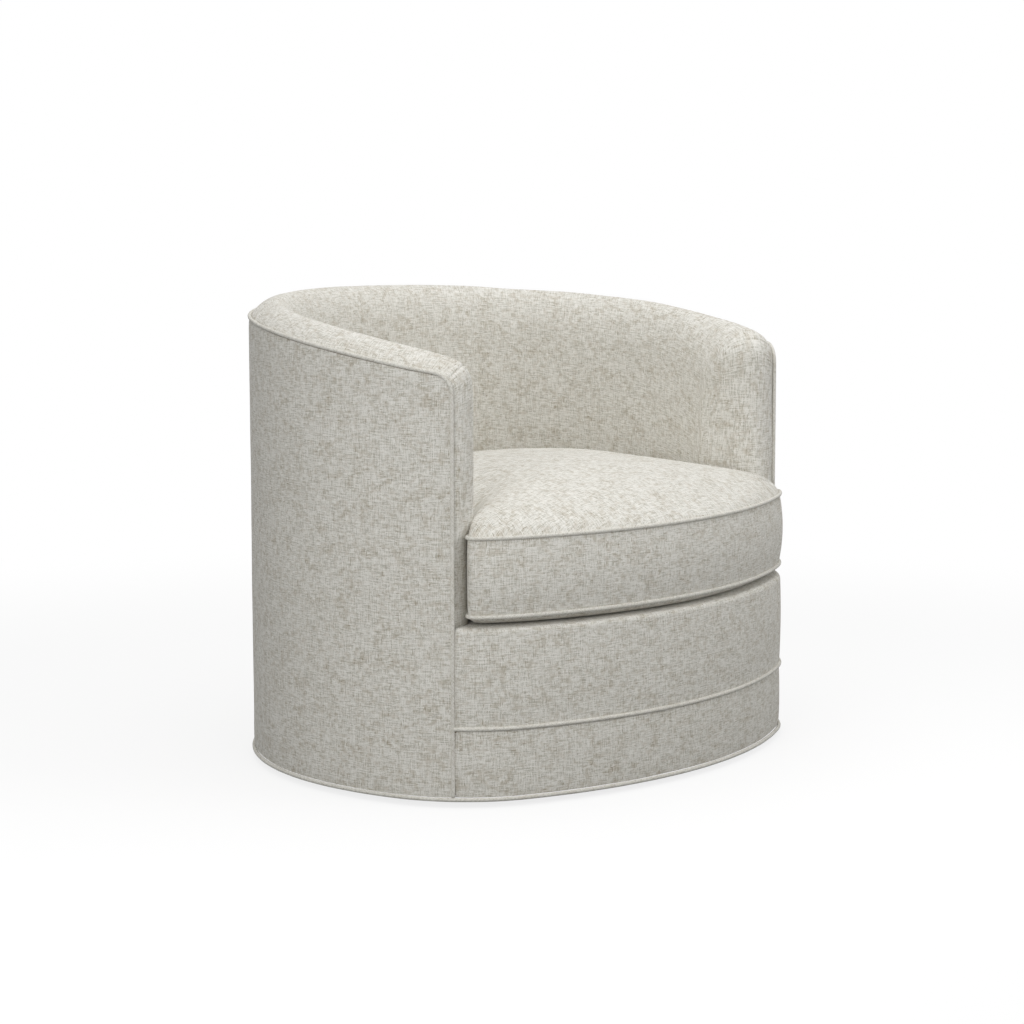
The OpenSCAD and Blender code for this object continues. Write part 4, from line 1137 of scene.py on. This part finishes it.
def plain_finish(slot):
    """The material of a frame finish, made once."""
    made = bpy.data.materials.get(slot + "_finish")
    if made:
        return made
    dark, pale, size, depth, shader = FINISHES[slot]
    shader = dict(shader)
    ply = shader.pop("ply", None)
    made, tree = new_material(slot + "_finish")
    place = add(tree, "ShaderNodeTexCoord").outputs["Object"]
    scale = tuple(1 / side for side in (size if isinstance(size, tuple) else (size,) * 3))
    scaled = add(tree, "ShaderNodeMapping", {"Vector": place, "Scale": scale})
    grain = add(tree, "ShaderNodeTexNoise", {"Vector": scaled, "Scale": 1.0, "Detail": 3.0})
    cloud = add(tree, "ShaderNodeTexNoise", {"Vector": place, "Scale": 18.0, "Detail": 2.0})
    tone = weighted_sum(tree, 0.0, (grain, 0.75), (cloud, 0.25))
    if ply:
        height = add(tree, "ShaderNodeSeparateXYZ", {0: place}).outputs["Z"]
        turn = add(tree, "ShaderNodeMath", {0: height, 1: 2 * math.pi / ply}, operation="MULTIPLY")
        wave = add(tree, "ShaderNodeMath", {0: turn}, operation="SINE")
        tone = weighted_sum(tree, tone, (wave, 0.12))
    colour = add(tree, "ShaderNodeValToRGB", {"Fac": tone}, stops=[(0.30, srgb(dark)), (0.70, srgb(pale))])
    bump = add(tree, "ShaderNodeBump", {"Height": tone, "Strength": 0.5, "Distance": depth})
    body = add(tree, "ShaderNodeBsdfPrincipled", {"Base Color": colour, "Normal": bump, **shader})
    add(tree, "ShaderNodeOutputMaterial", {"Surface": body})
    return made


class CHAIR_OT_frame_finishes(bpy.types.Operator):
    """Gives every CAD part that still shows its paint, plating, wood or cloth."""

    bl_idname = "chair.frame_finishes"
    bl_label = "Frame finishes"

    def execute(self, context):
        for part in frame["record"]["subparts"]:
            node = frame["nodes"][part["node"]]
            if node.hide_render:
                continue
            finish = plain_finish(part["material_slot"])
            for place in node.material_slots:
                place.material = finish
        return {"FINISHED"}


# Stage


class CHAIR_OT_stage(bpy.types.Operator):
    """Sets the floor, the soft lamps, the world and the camera."""

    bl_idname = "chair.stage"
    bl_label = "Stage"

    def execute(self, context):
        scene = context.scene
        for other in context.selected_objects:
            other.select_set(False)
        bpy.ops.mesh.primitive_plane_add(size=16, location=(0, 0, 0))
        floor = context.active_object
        floor.name = "floor"
        floor.data.materials.append(self.floor_white())
        self.world(scene)
        self.lamp("side_lamp", (-1.9, -0.8, 0.75), size=0.9, power=12)
        self.lamp("front_lamp", (0.6, -1.9, 1.1), size=1.0, power=9.5)
        self.lamp("top_lamp", (0.0, -0.1, 2.4), size=2.4, power=28.5)
        self.camera(scene)
        scene.view_settings.view_transform = "Standard"
        return {"FINISHED"}

    def seen(self, tree):
        """One where the camera or a reflection looks, and nought for the light that falls on things."""
        path = add(tree, "ShaderNodeLightPath")
        kinds = ("Camera", "Glossy", "Transmission")
        return highest(tree, *(path.outputs[f"Is {kind} Ray"] for kind in kinds))

    def floor_white(self):
        """A pale floor that looks white, but for the shadow near the chair."""
        made, tree = new_material("floor_white")
        place = add(tree, "ShaderNodeTexCoord").outputs["Object"]
        far = add(tree, "ShaderNodeVectorMath", {0: place}, operation="LENGTH").outputs["Value"]
        rise = {"Value": far, "From Min": 0.9, "From Max": 2.2}
        fade = add(tree, "ShaderNodeMapRange", rise, interpolation_type="SMOOTHSTEP")
        share = weighted_sum(tree, 0.80, (fade, 0.20))
        plain = add(tree, "ShaderNodeBsdfDiffuse", {"Color": srgb("#7C7C7A")})
        bright = add(tree, "ShaderNodeBsdfDiffuse", {"Color": srgb("#FFFFFF")})
        glow = add(tree, "ShaderNodeEmission", {"Color": srgb("#FFFFFF"), "Strength": 1.0})
        white = add(tree, "ShaderNodeMixShader", {0: share, 1: bright, 2: glow})
        both = add(tree, "ShaderNodeMixShader", {0: self.seen(tree), 1: plain, 2: white})
        add(tree, "ShaderNodeOutputMaterial", {"Surface": both})
        return made

    def world(self, scene):
        """White where the camera and reflections look, and an even soft light elsewhere."""
        world = bpy.data.worlds.new("white_room")
        scene.world = world
        world.use_nodes = True
        tree = world.node_tree
        tree.nodes.clear()
        white = add(tree, "ShaderNodeBackground", {"Color": srgb("#FFFFFF"), "Strength": 1.0})
        soft = add(tree, "ShaderNodeBackground", {"Color": srgb("#FFFFFF"), "Strength": 0.42})
        both = add(tree, "ShaderNodeMixShader", {0: self.seen(tree), 1: soft, 2: white})
        add(tree, "ShaderNodeOutputWorld", {"Surface": both})

    def aimed(self, name, data, spot, target):
        """A lamp or a camera at a spot, looking at a target."""
        made = bpy.data.objects.new(name, data)
        made.location = spot
        made.rotation_euler = (Vector(target) - Vector(spot)).to_track_quat("-Z", "Y").to_euler()
        bpy.context.scene.collection.objects.link(made)
        return made

    def lamp(self, name, spot, size, power):
        """A square soft lamp that points at the chair."""
        light = bpy.data.lights.new(name, "AREA")
        light.size = size
        light.energy = power
        self.aimed(name, light, spot, (0, 0, 0.35))

    def camera(self, scene):
        """A long lens from the front left, a little above the seat."""
        view = bpy.data.cameras.new("camera")
        view.sensor_width = 36
        view.lens = 95.44
        view.shift_x = -0.0210
        view.shift_y = -0.0071
        scene.camera = self.aimed("camera", view, (-3.0810, -2.6560, 0.8745), (0, -0.056, 0.3675))


class CHAIR_PT_panel(bpy.types.Panel):
    """Lists the chair's pieces and sizes."""

    bl_label = "Swivel barrel chair"
    bl_idname = "CHAIR_PT_panel"
    bl_space_type = "VIEW_3D"
    bl_region_type = "UI"
    bl_category = "Chair"

    def draw(self, context):
        for group in (context.scene.chair_sizes, context.scene.chair_colours):
            for name in group.__annotations__:
                self.layout.prop(group, name)
        for operator in OPERATORS:
            self.layout.operator(operator.bl_idname)


OPERATORS = (
    CHAIR_OT_outer_cover,
    CHAIR_OT_padded_wall,
    CHAIR_OT_front,
    CHAIR_OT_piping,
    CHAIR_OT_deck,
    CHAIR_OT_seat_cushion,
    CHAIR_OT_inner_cloth,
    CHAIR_OT_frame_finishes,
    CHAIR_OT_stage,
)
CLASSES = (ChairSizes, ChairColours, *OPERATORS, CHAIR_PT_panel)


def register():
    for each in CLASSES:
        bpy.utils.register_class(each)
    bpy.types.Scene.chair_sizes = PointerProperty(type=ChairSizes)
    bpy.types.Scene.chair_colours = PointerProperty(type=ChairColours)


def unregister():
    del bpy.types.Scene.chair_sizes
    del bpy.types.Scene.chair_colours
    for each in reversed(CLASSES):
        bpy.utils.unregister_class(each)


def main():
    register()
    bpy.ops.chair.outer_cover()
    bpy.ops.chair.padded_wall()
    bpy.ops.chair.front()
    bpy.ops.chair.piping()
    bpy.ops.chair.deck()
    bpy.ops.chair.seat_cushion()
    bpy.ops.chair.inner_cloth()
    bpy.ops.chair.frame_finishes()
    bpy.ops.chair.stage()


if __name__ == "__main__":
    main()
